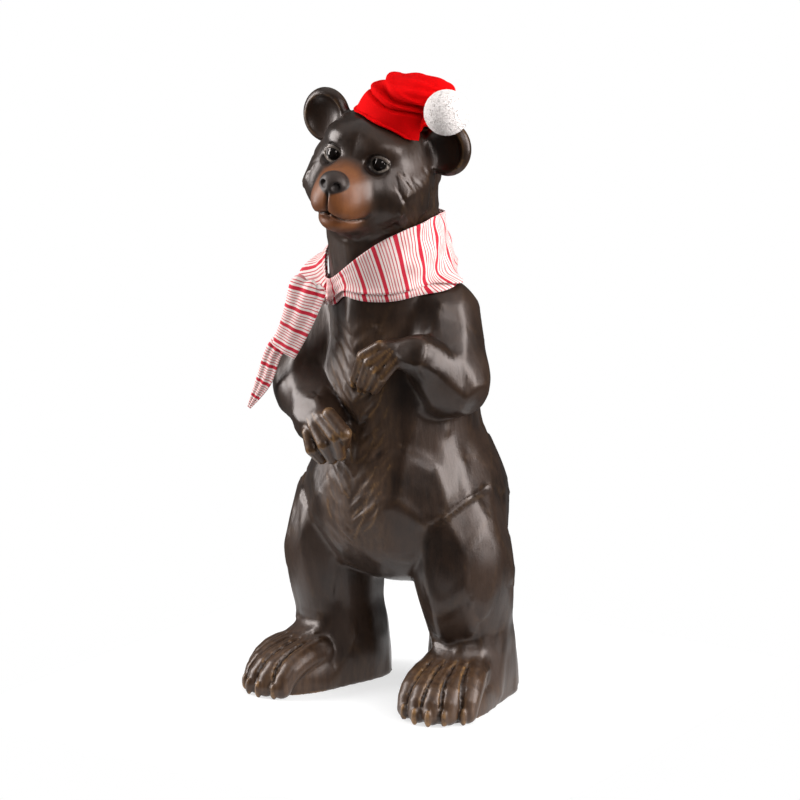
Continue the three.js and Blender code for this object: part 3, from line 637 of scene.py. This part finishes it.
masks = {
    "tan": tan,
    "nose": fade(nose_gap, -0.5, 1.5),
    "dark_paint_and_crease_shade": np.maximum.reduce((
        np.where(on_head, np.maximum(crease, parting), 0),
        0.9 * within_lids * (1 - eye_mask),
        fade(nostril_gap, -1, 1),
        # painted shade: darker where the surface bends inward, in creases and hollows, less on the
        # muzzle
        0.8 * ease(-bend, 0.05, 0.12) * (1 - 0.8 * tan),
    )),
    "eye": eye_mask,
    # painted highlight: a pale ring on the eyelid rims, stronger on their lower outer side
    "lid_rim_highlight": fade(lid_gap, 0, 0.7) * (0.4 + 0.5 * below),
    "rub": np.clip(rim + 0.04 * ridge * plain + 0.6 * worn, 0, 1),
    "brown": np.maximum.reduce((fade(paw_gap, 0, 6), on_toes, 0.8 * fur, 0.6 * by_floor)),
    "matt": np.maximum(fur, tan),
}


def new_object(name, data):
    thing = bpy.data.objects.new(name, data)
    bpy.context.scene.collection.objects.link(thing)
    return thing


mesh = bpy.data.meshes.new("bear_casting")
mesh.from_pydata((points + SHIFT) * MM, [], faces)
mesh.shade_smooth()
for name, values in masks.items():
    layer = mesh.attributes.new(name, "FLOAT", "POINT")
    layer.data.foreach_set("value", values.astype(np.float32))
bear_casting = new_object("bear_casting", mesh)


def colour(red, green, blue):
    """A colour given as it looks on a screen, 0 to 255"""
    parts = [c / 255 for c in (red, green, blue)]
    return (*[c / 12.92 if c <= 0.04045 else ((c + 0.055) / 1.055) ** 2.4 for c in parts], 1)


def feed(node, inputs):
    """Values set on a node's sockets, and other nodes' outputs linked into them"""
    for key, value in inputs.items():
        if isinstance(value, bpy.types.NodeSocket):
            node.id_data.links.new(value, node.inputs[key])
        else:
            node.inputs[key].default_value = value


def add(tree, kind, inputs, **settings):
    """A new node with its settings and what it is fed"""
    node = tree.nodes.new(kind)
    for name, value in settings.items():
        setattr(node, name, value)
    feed(node, inputs)
    return node


def mixed(share, first, second):
    inputs = {0: share, 6: first, 7: second}
    return add(share.id_data, "ShaderNodeMix", inputs, data_type="RGBA").outputs[2]


def maths(kind, first, *others):
    inputs = dict(enumerate((first, *others)))
    return add(first.id_data, "ShaderNodeMath", inputs, operation=kind).outputs[0]


def times(first, second):
    return maths("MULTIPLY", first, second)


def raised(start, mask, by):
    """A value that is raised where a mask is"""
    return maths("MULTIPLY_ADD", mask, by, start)


def bumped(height, strength, distance):
    inputs = {"Height": height, "Strength": strength, "Distance": distance}
    return add(height.id_data, "ShaderNodeBump", inputs).outputs[0]


def new_material(name):
    """A material with its shader and the object's own coordinates"""
    material = bpy.data.materials.new(name)
    material.use_nodes = True
    tree = material.node_tree
    at = add(tree, "ShaderNodeTexCoord", {}).outputs["Object"]
    return material, tree.nodes["Principled BSDF"], at


def new_group(name, kind, inputs, output):
    """A node group with what it is given, what it gives, and its inputs' identifiers"""
    group = bpy.data.node_groups.new(name, kind)
    keys = {}
    for label, (form, value) in inputs.items():
        socket = group.interface.new_socket(
            label, in_out="INPUT", socket_type="NodeSocket" + form)
        if value is not None:
            socket.default_value = value
        keys[label] = socket.identifier
    label, form = output
    group.interface.new_socket(label, in_out="OUTPUT", socket_type="NodeSocket" + form)
    given = add(group, "NodeGroupInput", {}).outputs
    return group, given, add(group, "NodeGroupOutput", {}), keys


def mottle_group():
    """Soft blotches of a given size, as a mask from 0 to 1"""
    group, given, result, _ = new_group("Mottle", "ShaderNodeTree", {
        "Vector": ("Vector", None), "Scale": ("Float", 20.0),
        "Low": ("Float", 0.35), "High": ("Float", 0.65),
    }, ("Mask", "Float"))
    noise = add(group, "ShaderNodeTexNoise", {
        "Vector": given["Vector"], "Scale": given["Scale"], "Detail": 5.0, "Roughness": 0.6})
    spread = add(group, "ShaderNodeMapRange", {
        "Value": noise.outputs["Fac"], "From Min": given["Low"], "From Max": given["High"],
    }, interpolation_type="SMOOTHSTEP")
    feed(result, {"Mask": spread.outputs[0]})
    return group


mottle = mottle_group()


def mottled(at, scale, low, high):
    inputs = {"Vector": at, "Scale": scale, "Low": low, "High": high}
    return add(at.id_data, "ShaderNodeGroup", inputs, node_tree=mottle).outputs["Mask"]


def bear_paint():
    """Brown paint in coats that show where their masks let them, some of them painted shade and
    highlight, under a thin lacquer
    """
    material, shader, at = new_material("bear_paint")
    tree = material.node_tree
    mask = {name: add(tree, "ShaderNodeAttribute", {}, attribute_name=name).outputs["Fac"]
            for name in masks}
    grain = add(tree, "ShaderNodeMapping", {"Vector": at, "Scale": (1, 1, 0.16)}).outputs[0]
    blotch, streak = mottled(at, 16, 0.3, 0.7), mottled(grain, 150, 0.3, 0.75)
    speck, broken = mottled(at, 260, 0.55, 0.75), mottled(at, 45, 0.38, 0.56)
    paws = mixed(streak, colour(50, 34, 23), colour(78, 56, 38))
    tan = mixed(blotch, colour(104, 58, 27), colour(130, 77, 38))
    tan = mixed(times(streak, 0.3), tan, colour(74, 40, 22))
    black = mixed(blotch, colour(22, 16, 14), colour(42, 33, 29))
    rub = times(mask["rub"], broken)
    coats = (
        (times(streak, 0.18), colour(66, 46, 33)),
        (times(mask["brown"], 0.8), paws),
        (mask["tan"], tan),
        (mask["nose"], black),
        (times(rub, 0.7), colour(176, 132, 80)),
        # dark paint on the mouth, round the eyes and in the nostrils, and painted shade in creases
        # and hollows
        (mask["dark_paint_and_crease_shade"], colour(16, 10, 9)),
        # the painted highlight on the eyelid rims
        (times(mask["lid_rim_highlight"], 0.7), colour(166, 152, 140)),
        (mask["eye"], colour(12, 9, 8)),
    )
    body = mixed(blotch, colour(19, 12, 8), colour(42, 28, 19))
    for share, coat in coats:
        body = mixed(share, body, coat)
    rough = raised(0.31, blotch, 0.10)
    rough = raised(rough, mask["matt"], 0.18)
    rough = raised(rough, speck, 0.06)
    rough = times(rough, raised(1.0, mask["eye"], -0.8))
    strokes = raised(streak, speck, 0.4)
    feed(shader, {
        "Base Color": body, "Roughness": rough, "Normal": bumped(strokes, 0.10, 0.0012),
        "Specular IOR Level": 0.46, "Specular Tint": (1, 0.86, 0.81, 1),
        "Coat Weight": 0.06, "Coat Roughness": 0.14,
    })
    return material


bear_casting.data.materials.append(bear_paint())
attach(bear_casting, "root")
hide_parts("bear")

# Scarf: a strip of woven cotton with red stripes across it, folded along its length, wound once
# round the neck and tied at the bear's right. There it is drawn together and its ends hang loose.
CLOTH = 1.4
CLOTH_CLEAR, LEAST_CLEAR, TAIL_CLEAR = 4.4, 1.6, 3.2  # middle of the cloth from the bear
UNDER_IN, OVER_OUT = 1.9, 0.4  # from there to the two layers of the fold
FOLD_LAP = 10.0  # how far the under layer shows below the fold
KNOT_TURN, FRONT_TURN = math.radians(-48), math.radians(25)
KNOT_LAP = 0.12  # the band starts and ends this far past the knot, under the first tail
LOOP_OFF, LOOP_RISE = 20.0, 24.0  # its lower edge stands off behind the knot, its upper one rises
NECK_Y = -14.0


def on_neck(turn, z, clear):
    """Points round the neck at the given clearance from the bear"""
    way = np.column_stack((np.sin(turn), -np.cos(turn), 0 * turn))
    start = np.column_stack((0 * z, 0 * z + NECK_Y, z))
    low, high = np.full(len(z), 20.0), np.full(len(z), 170.0)
    for _ in range(14):
        reach = (low + high) / 2
        inside = bear(start + way * reach[:, None]) < clear
        low, high = np.where(inside, reach, low), np.where(inside, high, reach)
    return start + way * high[:, None]


def band_edges(turn):
    """Heights of the band's lower and upper edge round the neck, and how near the knot is"""
    from_knot = (1 + np.cos(turn - KNOT_TURN)) / 2
    from_front = (1 + np.cos(turn - FRONT_TURN)) / 2
    apart = np.degrees(np.abs((turn - KNOT_TURN + math.pi) % (2 * math.pi) - math.pi))
    low = 572 - 49 * from_front ** 1.3 - 33 * fade(apart, 0, 43)
    return low, 628 - 84 * from_knot ** 2.2, from_knot


def ripple(turns):
    return np.sin(2 * math.pi * turns)


def lengths_along(path):
    steps = length(np.diff(path, axis=0))
    return np.concatenate(((0,), np.cumsum(steps)))


def band_layer(around, across, under):
    """Rows of points along one layer of the band, with their places on the flat strip"""
    turn = KNOT_TURN - KNOT_LAP + np.linspace(0, 2 * math.pi, around)
    low, high, from_knot = band_edges(turn)
    degrees, before_knot = np.degrees(turn), np.degrees(KNOT_TURN + 2 * math.pi - turn)
    in_loop = ease(before_knot, 2, 26) * fade(before_knot, 50, 120)
    high = high + LOOP_RISE * in_loop
    share = np.linspace(0, 1, across)
    turns, v = np.repeat(turn, across), np.tile(share, around)
    if under:
        high, clear = high - 2, CLOTH_CLEAR - UNDER_IN
    else:
        lap = window(degrees, -40, 78, 24) * (0.55 + 0.45 * ease(degrees, -40, 20))
        low = low + FOLD_LAP * lap
        pleats = 0.5 * np.repeat(from_knot, across) ** 5 * ripple(2.4 * v + 0.1)
        waves = 1.5 * ripple(1.6 * v - 1.1 * turns) + 0.8 * ripple(2.9 * v + 2.1 * turns)
        waves = waves * window(np.degrees(turns), 62, 150, 26)
        roll = 1.6 * bell(v, 0.07)
        clear = CLOTH_CLEAR + OVER_OUT + (pleats + waves + roll)
    z = low[:, None] + (high - low)[:, None] * share
    clear = clear + LOOP_OFF * np.repeat(in_loop, across) * (1 - v)
    grid = on_neck(turns, z.ravel(), np.maximum(clear, LEAST_CLEAR)).reshape(around, across, 3)
    along = lengths_along(grid[:, across // 2, :2])
    middle = (low + high) / 2
    lean = np.clip(np.gradient(middle, along), -0.5, 0.5)
    u = along[:, None] + 0.8 * lean[:, None] * (z - middle[:, None]) + (6 if under else 0)
    return grid, u, z - low[:, None]


def curve_through(knots, count):
    """A smooth curve through the given rows, as positions along it"""
    knots, last = np.asarray(knots, float), len(knots) - 1
    t = np.linspace(0, last, count)
    i = np.minimum(t.astype(int), last - 1)
    f = (t - i)[:, None]
    a, b, c, d = (knots[np.clip(i + k, 0, last)] for k in (-1, 0, 1, 2))
    return b + 0.5 * f * (c - a + f * (2 * a - 5 * b + 4 * c - d + f * (3 * (b - c) + d - a)))


TAILS = (  # the way of each loose end, half its width, its pleats and where it starts in the strip
    {"path": ((-60, -66, 512), (-60, -80, 530), (-60, -90, 541), (-62, -96, 534), (-69, -99, 512),
              (-81, -99, 484), (-100, -98, 450)),
     "half": (8, 15, 22, 26, 24, 21, 18), "pleats": (2.5, 3, 2.6, 2.2, 1.4, 0.8, 0.3),
     "start": 640},
    {"path": ((-60, -72, 528), (-76, -84, 504), (-97, -90, 474), (-119, -92, 446),
              (-138, -88, 407), (-168, -80, 367)),
     "half": (8, 10, 12, 12, 11, 2.5), "pleats": (2, 2, 1.2, 0.8, 0.8, 0.3), "start": 833},
)
TAIL_ACROSS = np.array((0.94, 0.12, -0.32))
IN_CHEST = (0, 40, 500)


def tail_grid(tail, rows, across):
    """Rows of points along a loose end, pleated where it leaves the knot"""
    middle = curve_through(tail["path"], rows)
    sizes = np.transpose((tail["half"], tail["pleats"]))
    half, pleat = curve_through(sizes, rows).T[..., None]
    along = np.gradient(middle, axis=0)
    along /= length(along)[:, None]
    side = TAIL_ACROSS - along * (along @ TAIL_ACROSS)[:, None]
    side /= length(side)[:, None]
    out = np.cross(along, side)
    out *= np.sign((out * (middle - IN_CHEST)).sum(1))[:, None]
    v = np.linspace(-1, 1, across)
    swell = pleat * ripple(1.15 * v + 0.15) + 0.14 * half * (0.5 - v ** 2)
    grid = middle[:, None] + side[:, None] * (half * v)[..., None]
    u = tail["start"] + lengths_along(middle)[:, None] + 0.12 * half * v
    return grid + out[:, None] * swell[..., None], u, half * (v + 1)


def clear_of_bear(grid, clear):
    """A grid with its points moved out where they come nearer to the bear than the clearance"""
    points = grid.reshape(-1, 3).copy()
    close = bear(points) < clear
    points[close] = settled(points[close], clear, rounds=5)
    return points.reshape(grid.shape)


def cloth_object(name, grids):
    """One mesh of several strips of cloth, with their places on the flat cloth as its UV map"""
    points, faces, flat = [], [], []
    for grid, u, v in grids:
        rows, across = grid.shape[:2]
        base = sum(len(p) for p in points)
        points.append(grid.reshape(-1, 3))
        flat.append(np.column_stack((u.ravel(), v.ravel())))
        i, j = np.meshgrid(np.arange(rows - 1), np.arange(across - 1), indexing="ij")
        corner = base + i * across + j
        quads = np.stack((corner, corner + 1, corner + across + 1, corner + across), -1)
        faces.append(quads.reshape(-1, 4))
    faces = np.concatenate(faces)
    mesh = bpy.data.meshes.new(name)
    mesh.from_pydata((np.concatenate(points) + SHIFT) * MM, [], faces.tolist())
    mesh.shade_smooth()
    places = np.concatenate(flat)[faces.ravel()] * MM
    layer = mesh.uv_layers.new(name="flat")
    layer.data.foreach_set("uv", places.ravel().astype(np.float32))
    return new_object(name, mesh)


def thickened(thing, thick, offset):
    solid = thing.modifiers.new("thickness", "SOLIDIFY")
    solid.thickness, solid.offset = thick * MM, offset


grids = [band_layer(230, 20, False), band_layer(230, 14, True)]
for tail in TAILS:
    grid, u, v = tail_grid(tail, 60, 19)
    grids.append((clear_of_bear(grid, TAIL_CLEAR), u, v))
scarf_cloth = cloth_object("scarf_cloth", grids)
thickened(scarf_cloth, CLOTH, 0)
STRIPE_PERIOD = 26.5
STRIPES = (  # from, width and strength of each stripe in the pattern
    (0.0, 4.8, 1.0), (7.6, 1.3, 0.95), (11.0, 1.2, 0.9),
    (14.2, 2.0, 0.7), (18.4, 1.2, 0.9), (22.2, 1.3, 0.95),
)


def weave_group():
    """Threads over and under each other, as a height from 0 to 1"""
    group, given, result, _ = new_group("Weave", "ShaderNodeTree", {
        "Vector": ("Vector", None), "Threads": ("Float", 900.0)}, ("Height", "Float"))
    split = add(group, "ShaderNodeSeparateXYZ", {0: given["Vector"]})
    waves = []
    for axis in ("X", "Y"):
        turns = times(split.outputs[axis], given["Threads"])
        waves.append(maths("SINE", times(turns, 2 * math.pi)))
    feed(result, {"Height": raised(0.5, times(*waves), 0.5)})
    return group


weave = weave_group()


def scarf_cotton():
    material, shader, at = new_material("scarf_cotton")
    tree = material.node_tree
    flat = add(tree, "ShaderNodeUVMap", {}, uv_map="flat").outputs[0]
    along = add(tree, "ShaderNodeSeparateXYZ", {0: flat}).outputs["X"]
    repeat = maths("FRACT", times(along, 1000 / STRIPE_PERIOD))
    ramp = add(tree, "ShaderNodeValToRGB", {0: repeat})
    stops = ramp.color_ramp
    stops.interpolation = "CONSTANT"
    stops.elements[0].position, stops.elements[1].position = 0, 0.999
    stops.elements[1].color = (0, 0, 0, 1)
    for start, wide, strength in STRIPES:
        for spot, value in ((start, strength), (start + wide, 0)):
            stop = stops.elements[0] if spot == 0 else stops.elements.new(spot / STRIPE_PERIOD)
            stop.color = (value, value, value, 1)
    faded = mottled(at, 45, 0.25, 0.8)
    cream = mixed(faded, colour(228, 211, 206), colour(240, 227, 222))
    red = mixed(faded, colour(186, 10, 42), colour(206, 26, 56))
    woven = add(tree, "ShaderNodeGroup", {"Vector": flat, "Threads": 780.0}, node_tree=weave)
    threads = woven.outputs["Height"]
    cloth = mixed(ramp.outputs["Color"], cream, red)
    cloth = mixed(times(threads, 0.10), cloth, colour(150, 120, 115))
    feed(shader, {
        "Base Color": cloth, "Roughness": raised(0.84, threads, 0.08),
        "Normal": bumped(threads, 0.35, 0.0004),
        "Sheen Weight": 0.15, "Specular IOR Level": 0.2,
    })
    return material


scarf_cloth.data.materials.append(scarf_cotton())
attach(scarf_cloth, "root")
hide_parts("scarf")

# Cap: red felt sewn to a bag, its lower edge turned up as a plain cuff, pulled on over the head
# between the ears. The bag slumps over to the bear's left, in soft folds, to the pompom at its end.
CAP_AT = out_of_head(np.array((18, 8, 56.0)))
CAP_LOWER = 6  # degrees that it leans to the left, past the head
_, out_of_cap = frame_of(CAP_AT, HEAD_TURN[0], HEAD_TURN[1] + CAP_LOWER, HEAD_TURN[2])
FELT, FELT_CLEAR = 2.2, 4.6
EAR_ROOM = 48
CAP_RINGS = (  # middle, half sizes and tilt of each ring of the bag, from the rim up
    (0, 0, 5, 55, 50, 0), (0, 0, 16, 54, 50, 0), (0, 0, 27, 50, 48, 2), (3, 0, 37, 45, 45, 5),
    (10, 0, 46, 40, 41, 12), (19, 0, 54, 35, 36, 20), (34, 1, 61, 27, 28, 24),
    (46, 3, 66, 18, 19, 36), (55, 2, 65, 11, 12, 58), (60, -1, 60, 6, 6, 78),
    (63, -4, 55, 0.02, 0.02, 85),
)
CAP_RADIUS, CUFF_HIGH = 52, 33.0
CAP_MIDDLE = np.array((10, 0, 30))


def beside_ear(p):
    """Points of the cap drawn in where the bear's left ear stands in their way"""
    q = into_head(p)
    room = EAR_ROOM + 1.2 * np.maximum(0, -8 - q[:, 1])
    low = fade(q[:, 2], EAR[2] + 20, EAR[2] + 50)
    q[:, 0] -= low * np.maximum(q[:, 0] - room, 0)
    return out_of_head(q)


def cap_grid(rows, around):
    """Rows of points round the cap with its cuff and folds, and their places on the flat felt"""
    x, y, z, wide, deep, tilt = curve_through(CAP_RINGS, rows).T[..., None]
    turn, lean = np.linspace(0, 2 * math.pi, around), np.radians(tilt)
    u, v = wide * np.cos(turn), deep * np.sin(turn)
    grid = np.stack((x + u * np.cos(lean), y + v, z - u * np.sin(lean)), -1)
    up = np.linalg.norm(np.diff(grid, axis=0), axis=2)
    height = np.vstack((np.zeros(around), np.cumsum(up, axis=0)))
    ahead, behind = np.roll(grid[:, :-1], -1, 1), np.roll(grid[:, :-1], 1, 1)
    out = np.cross((ahead - behind)[:, np.arange(around) % (around - 1)], np.gradient(grid, axis=0))
    out /= np.maximum(np.linalg.norm(out, axis=2), 1e-6)[..., None]
    out *= np.sign((out * (grid - CAP_MIDDLE)).sum())
    degrees = np.degrees(turn)
    front, right = window(degrees, 225, 315, 30), window(degrees, 165, 205, 25)
    gap = height - CUFF_HIGH - 2.5 * np.sin(turn * 2 + 0.6) - 1.2 * np.sin(5 * turn)
    move = 1.2 * fade(gap, -2.5, 0) - 6.5 * bell(gap, 2) + 4.6 * bell(gap - 7, 4)
    dip = gap - 17 - 5 * np.sin(turn - 0.6)
    move += front * (4 * bell(dip - 10, 4.5) - 11 * bell(dip, 4))
    move += right * (4 * bell(gap - 30, 5) - 2.5 * bell(gap - 20, 5))
    folds = 1.8 * np.sin(3 * turn + 0.085 * height + 0.7) + 1.4 * np.sin(5 * turn - 0.13 * height)
    move += ease(gap, 10, 22) * fade(height, 100, 122) * folds
    move += 0.8 * np.sin(7 * turn + 1) * fade(height, 4, 20)
    return out_of_cap(grid + out * move[..., None]), turn * CAP_RADIUS + 0 * height, height


grid, u, v = cap_grid(72, 121)
grid = clear_of_bear(beside_ear(grid.reshape(-1, 3)).reshape(grid.shape), FELT_CLEAR)
grid[:, -1] = grid[:, 0]
hat_felt = cloth_object("hat_felt", [(grid, u, v)])
net = bmesh.new()
net.from_mesh(hat_felt.data)
bmesh.ops.remove_doubles(net, verts=net.verts, dist=0.0002)
bmesh.ops.recalc_face_normals(net, faces=net.faces)
net.to_mesh(hat_felt.data)
net.free()
hat_felt.data.shade_smooth()
thickened(hat_felt, FELT, -1)


def red_felt():
    material, shader, at = new_material("red_felt")
    blotch, fibre = mottled(at, 40, 0.3, 0.7), mottled(at, 900, 0.3, 0.7)
    felt = mixed(blotch, colour(208, 3, 5), colour(224, 6, 9))
    felt = mixed(times(fibre, 0.22), felt, colour(156, 3, 8))
    feed(shader, {
        "Base Color": felt, "Roughness": raised(0.86, fibre, 0.1),
        "Normal": bumped(fibre, 0.4, 0.0006), "Specular IOR Level": 0.05,
    })
    return material


hat_felt.data.materials.append(red_felt())
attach(hat_felt, "root")
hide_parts("hat")

# Pompom: white yarn wound, tied and clipped to a ball, sewn to the end of the cap. Its strands
# stand out from the middle all round and are cut to nearly one length.
POMPOM_AT = out_of_cap(np.array((76, -36, 54.0)))
POMPOM_RADIUS, CORE_SHARE = 27.4, 0.955
STRAND_LEAN = 0.25


def white_yarn():
    material, shader, at = new_material("white_yarn")
    strand = mottled(at, 420, 0.3, 0.7)
    feed(shader, {
        "Base Color": mixed(strand, colour(220, 212, 209), colour(236, 230, 227)),
        "Roughness": raised(0.85, strand, 0.1),
        "Sheen Weight": 0.25, "Specular IOR Level": 0.2,
    })
    return material


def pompom_tree(material):
    """A ball of yarn strands standing on a round core, and its inputs' identifiers"""
    tree, given, result, keys = new_group("Pompom", "GeometryNodeTree", {
        "Core": ("Float", 0.024), "Strand": ("Float", 0.0015), "Width": ("Float", 0.0011),
        "Density": ("Float", 800000.0), "Seed": ("Int", 5),
    }, ("Geometry", "Geometry"))
    core = add(tree, "GeometryNodeMeshIcoSphere", {"Radius": given["Core"], "Subdivisions": 4})
    spots = add(tree, "GeometryNodeDistributePointsOnFaces", {
        "Mesh": core.outputs[0], "Density": given["Density"], "Seed": given["Seed"]})
    strand = add(tree, "GeometryNodeMeshCone", {
        "Vertices": 4, "Side Segments": 1, "Radius Top": given["Width"],
        "Radius Bottom": given["Width"], "Depth": given["Strand"]})
    jitter = add(tree, "FunctionNodeRandomValue", {
        0: (-STRAND_LEAN,) * 3, 1: (STRAND_LEAN,) * 3, "Seed": 9}, data_type="FLOAT_VECTOR")
    lean = add(tree, "ShaderNodeVectorMath", {
        0: spots.outputs["Normal"], 1: jitter.outputs[0]}, operation="ADD")
    turn = add(tree, "FunctionNodeAlignRotationToVector", {"Vector": lean.outputs[0]}, axis="Z")
    size = add(tree, "FunctionNodeRandomValue", {2: 0.9, 3: 1.06, "Seed": 4}, data_type="FLOAT")
    stand = add(tree, "GeometryNodeInstanceOnPoints", {
        "Points": spots.outputs[0], "Instance": strand.outputs[0],
        "Rotation": turn.outputs[0], "Scale": size.outputs[1]})
    both = add(tree, "GeometryNodeJoinGeometry", {})
    for part in (core, stand):
        tree.links.new(part.outputs[0], both.inputs[0])
    real = add(tree, "GeometryNodeRealizeInstances", {0: both.outputs[0]})
    painted = add(tree, "GeometryNodeSetMaterial", {
        "Geometry": real.outputs[0], "Material": material})
    feed(result, {0: painted.outputs[0]})
    return tree, keys


tree, keys = pompom_tree(white_yarn())
maker = new_object("pompom_maker", bpy.data.meshes.new("pompom_maker"))
strands = maker.modifiers.new("strands", "NODES")
strands.node_group = tree
strands[keys["Core"]] = CORE_SHARE * POMPOM_RADIUS * MM
made = maker.evaluated_get(bpy.context.evaluated_depsgraph_get())
ball = bpy.data.meshes.new_from_object(made)
bpy.data.objects.remove(maker)
ball.name = "pompom_yarn"
ball.transform(Matrix.Translation((POMPOM_AT + SHIFT) * MM))
pompom_yarn = new_object("pompom_yarn", ball)
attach(pompom_yarn, "root")
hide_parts("pompom")

# Studio: a plain pale floor, two tall soft lights at the sides, a smaller one in front and a dim
# one overhead, and the camera that looks slightly down at the bear from its front left.
AIM = Vector((0.0085, 0.0129, 0.3825))
CAMERA_VIEW = (34, 12, 3.4)  # azimuth, elevation and distance
SOFTBOXES = (  # azimuth, elevation and distance, watts, width and height
    ("right_softbox", (98, 20, 1.9), 58, 0.95, 1.7),
    ("left_softbox", (-62, 18, 2.0), 62, 0.9, 1.7),
    ("front_softbox", (54, 32, 2.2), 15, 0.9, 0.9),
)
FLOOR = 0.4


def spot_at(azimuth, elevation, away):
    a, e = math.radians(azimuth), math.radians(elevation)
    return AIM + away * Vector((math.sin(a) * math.cos(e), -math.cos(a) * math.cos(e), math.sin(e)))


def aimed(name, data, spot):
    """A light or the camera at a spot, turned to the bear"""
    thing = new_object(name, data)
    thing.location = spot
    thing.rotation_euler = (AIM - spot).to_track_quat("-Z", "Y").to_euler()
    return thing


camera = bpy.data.cameras.new("photo_view")
camera.lens, camera.sensor_width = 119.8, 36
bpy.context.scene.camera = aimed("photo_view", camera, spot_at(*CAMERA_VIEW))
for name, place, power, wide, tall in SOFTBOXES:
    lamp = bpy.data.lights.new(name, "AREA")
    lamp.shape = "RECTANGLE"
    lamp.energy, lamp.size, lamp.size_y = power, wide, tall
    aimed(name, lamp, spot_at(*place))
ceiling = bpy.data.lights.new("ceiling_light", "SUN")
ceiling.energy, ceiling.angle = 1.0, math.radians(80)
aimed("ceiling_light", ceiling, AIM + Vector((0, 0, 3)))

floor_mesh = bpy.data.meshes.new("floor")
corners = [(x * FLOOR, y * FLOOR, 0) for x, y in ((-1, -1), (1, -1), (1, 1), (-1, 1))]
floor_mesh.from_pydata(corners, [], [(0, 1, 2, 3)])
floor = new_object("floor", floor_mesh)
floor_paint, floor_shader, _ = new_material("floor_paint")
feed(floor_shader, {
    "Base Color": (0.35, 0.35, 0.35, 1), "Roughness": 0.6,
    "Emission Color": (1, 1, 1, 1), "Emission Strength": 0.65,
})
floor_mesh.materials.append(floor_paint)

bpy.context.scene.view_settings.view_transform = "Standard"
world = bpy.data.worlds.new("studio")
bpy.context.scene.world = world
world.use_nodes = True
sky = world.node_tree
seen = add(sky, "ShaderNodeLightPath", {}).outputs["Is Camera Ray"]
feed(sky.nodes["Background"], {"Color": (1, 1, 1, 1), "Strength": raised(0.1, seen, 0.9)})
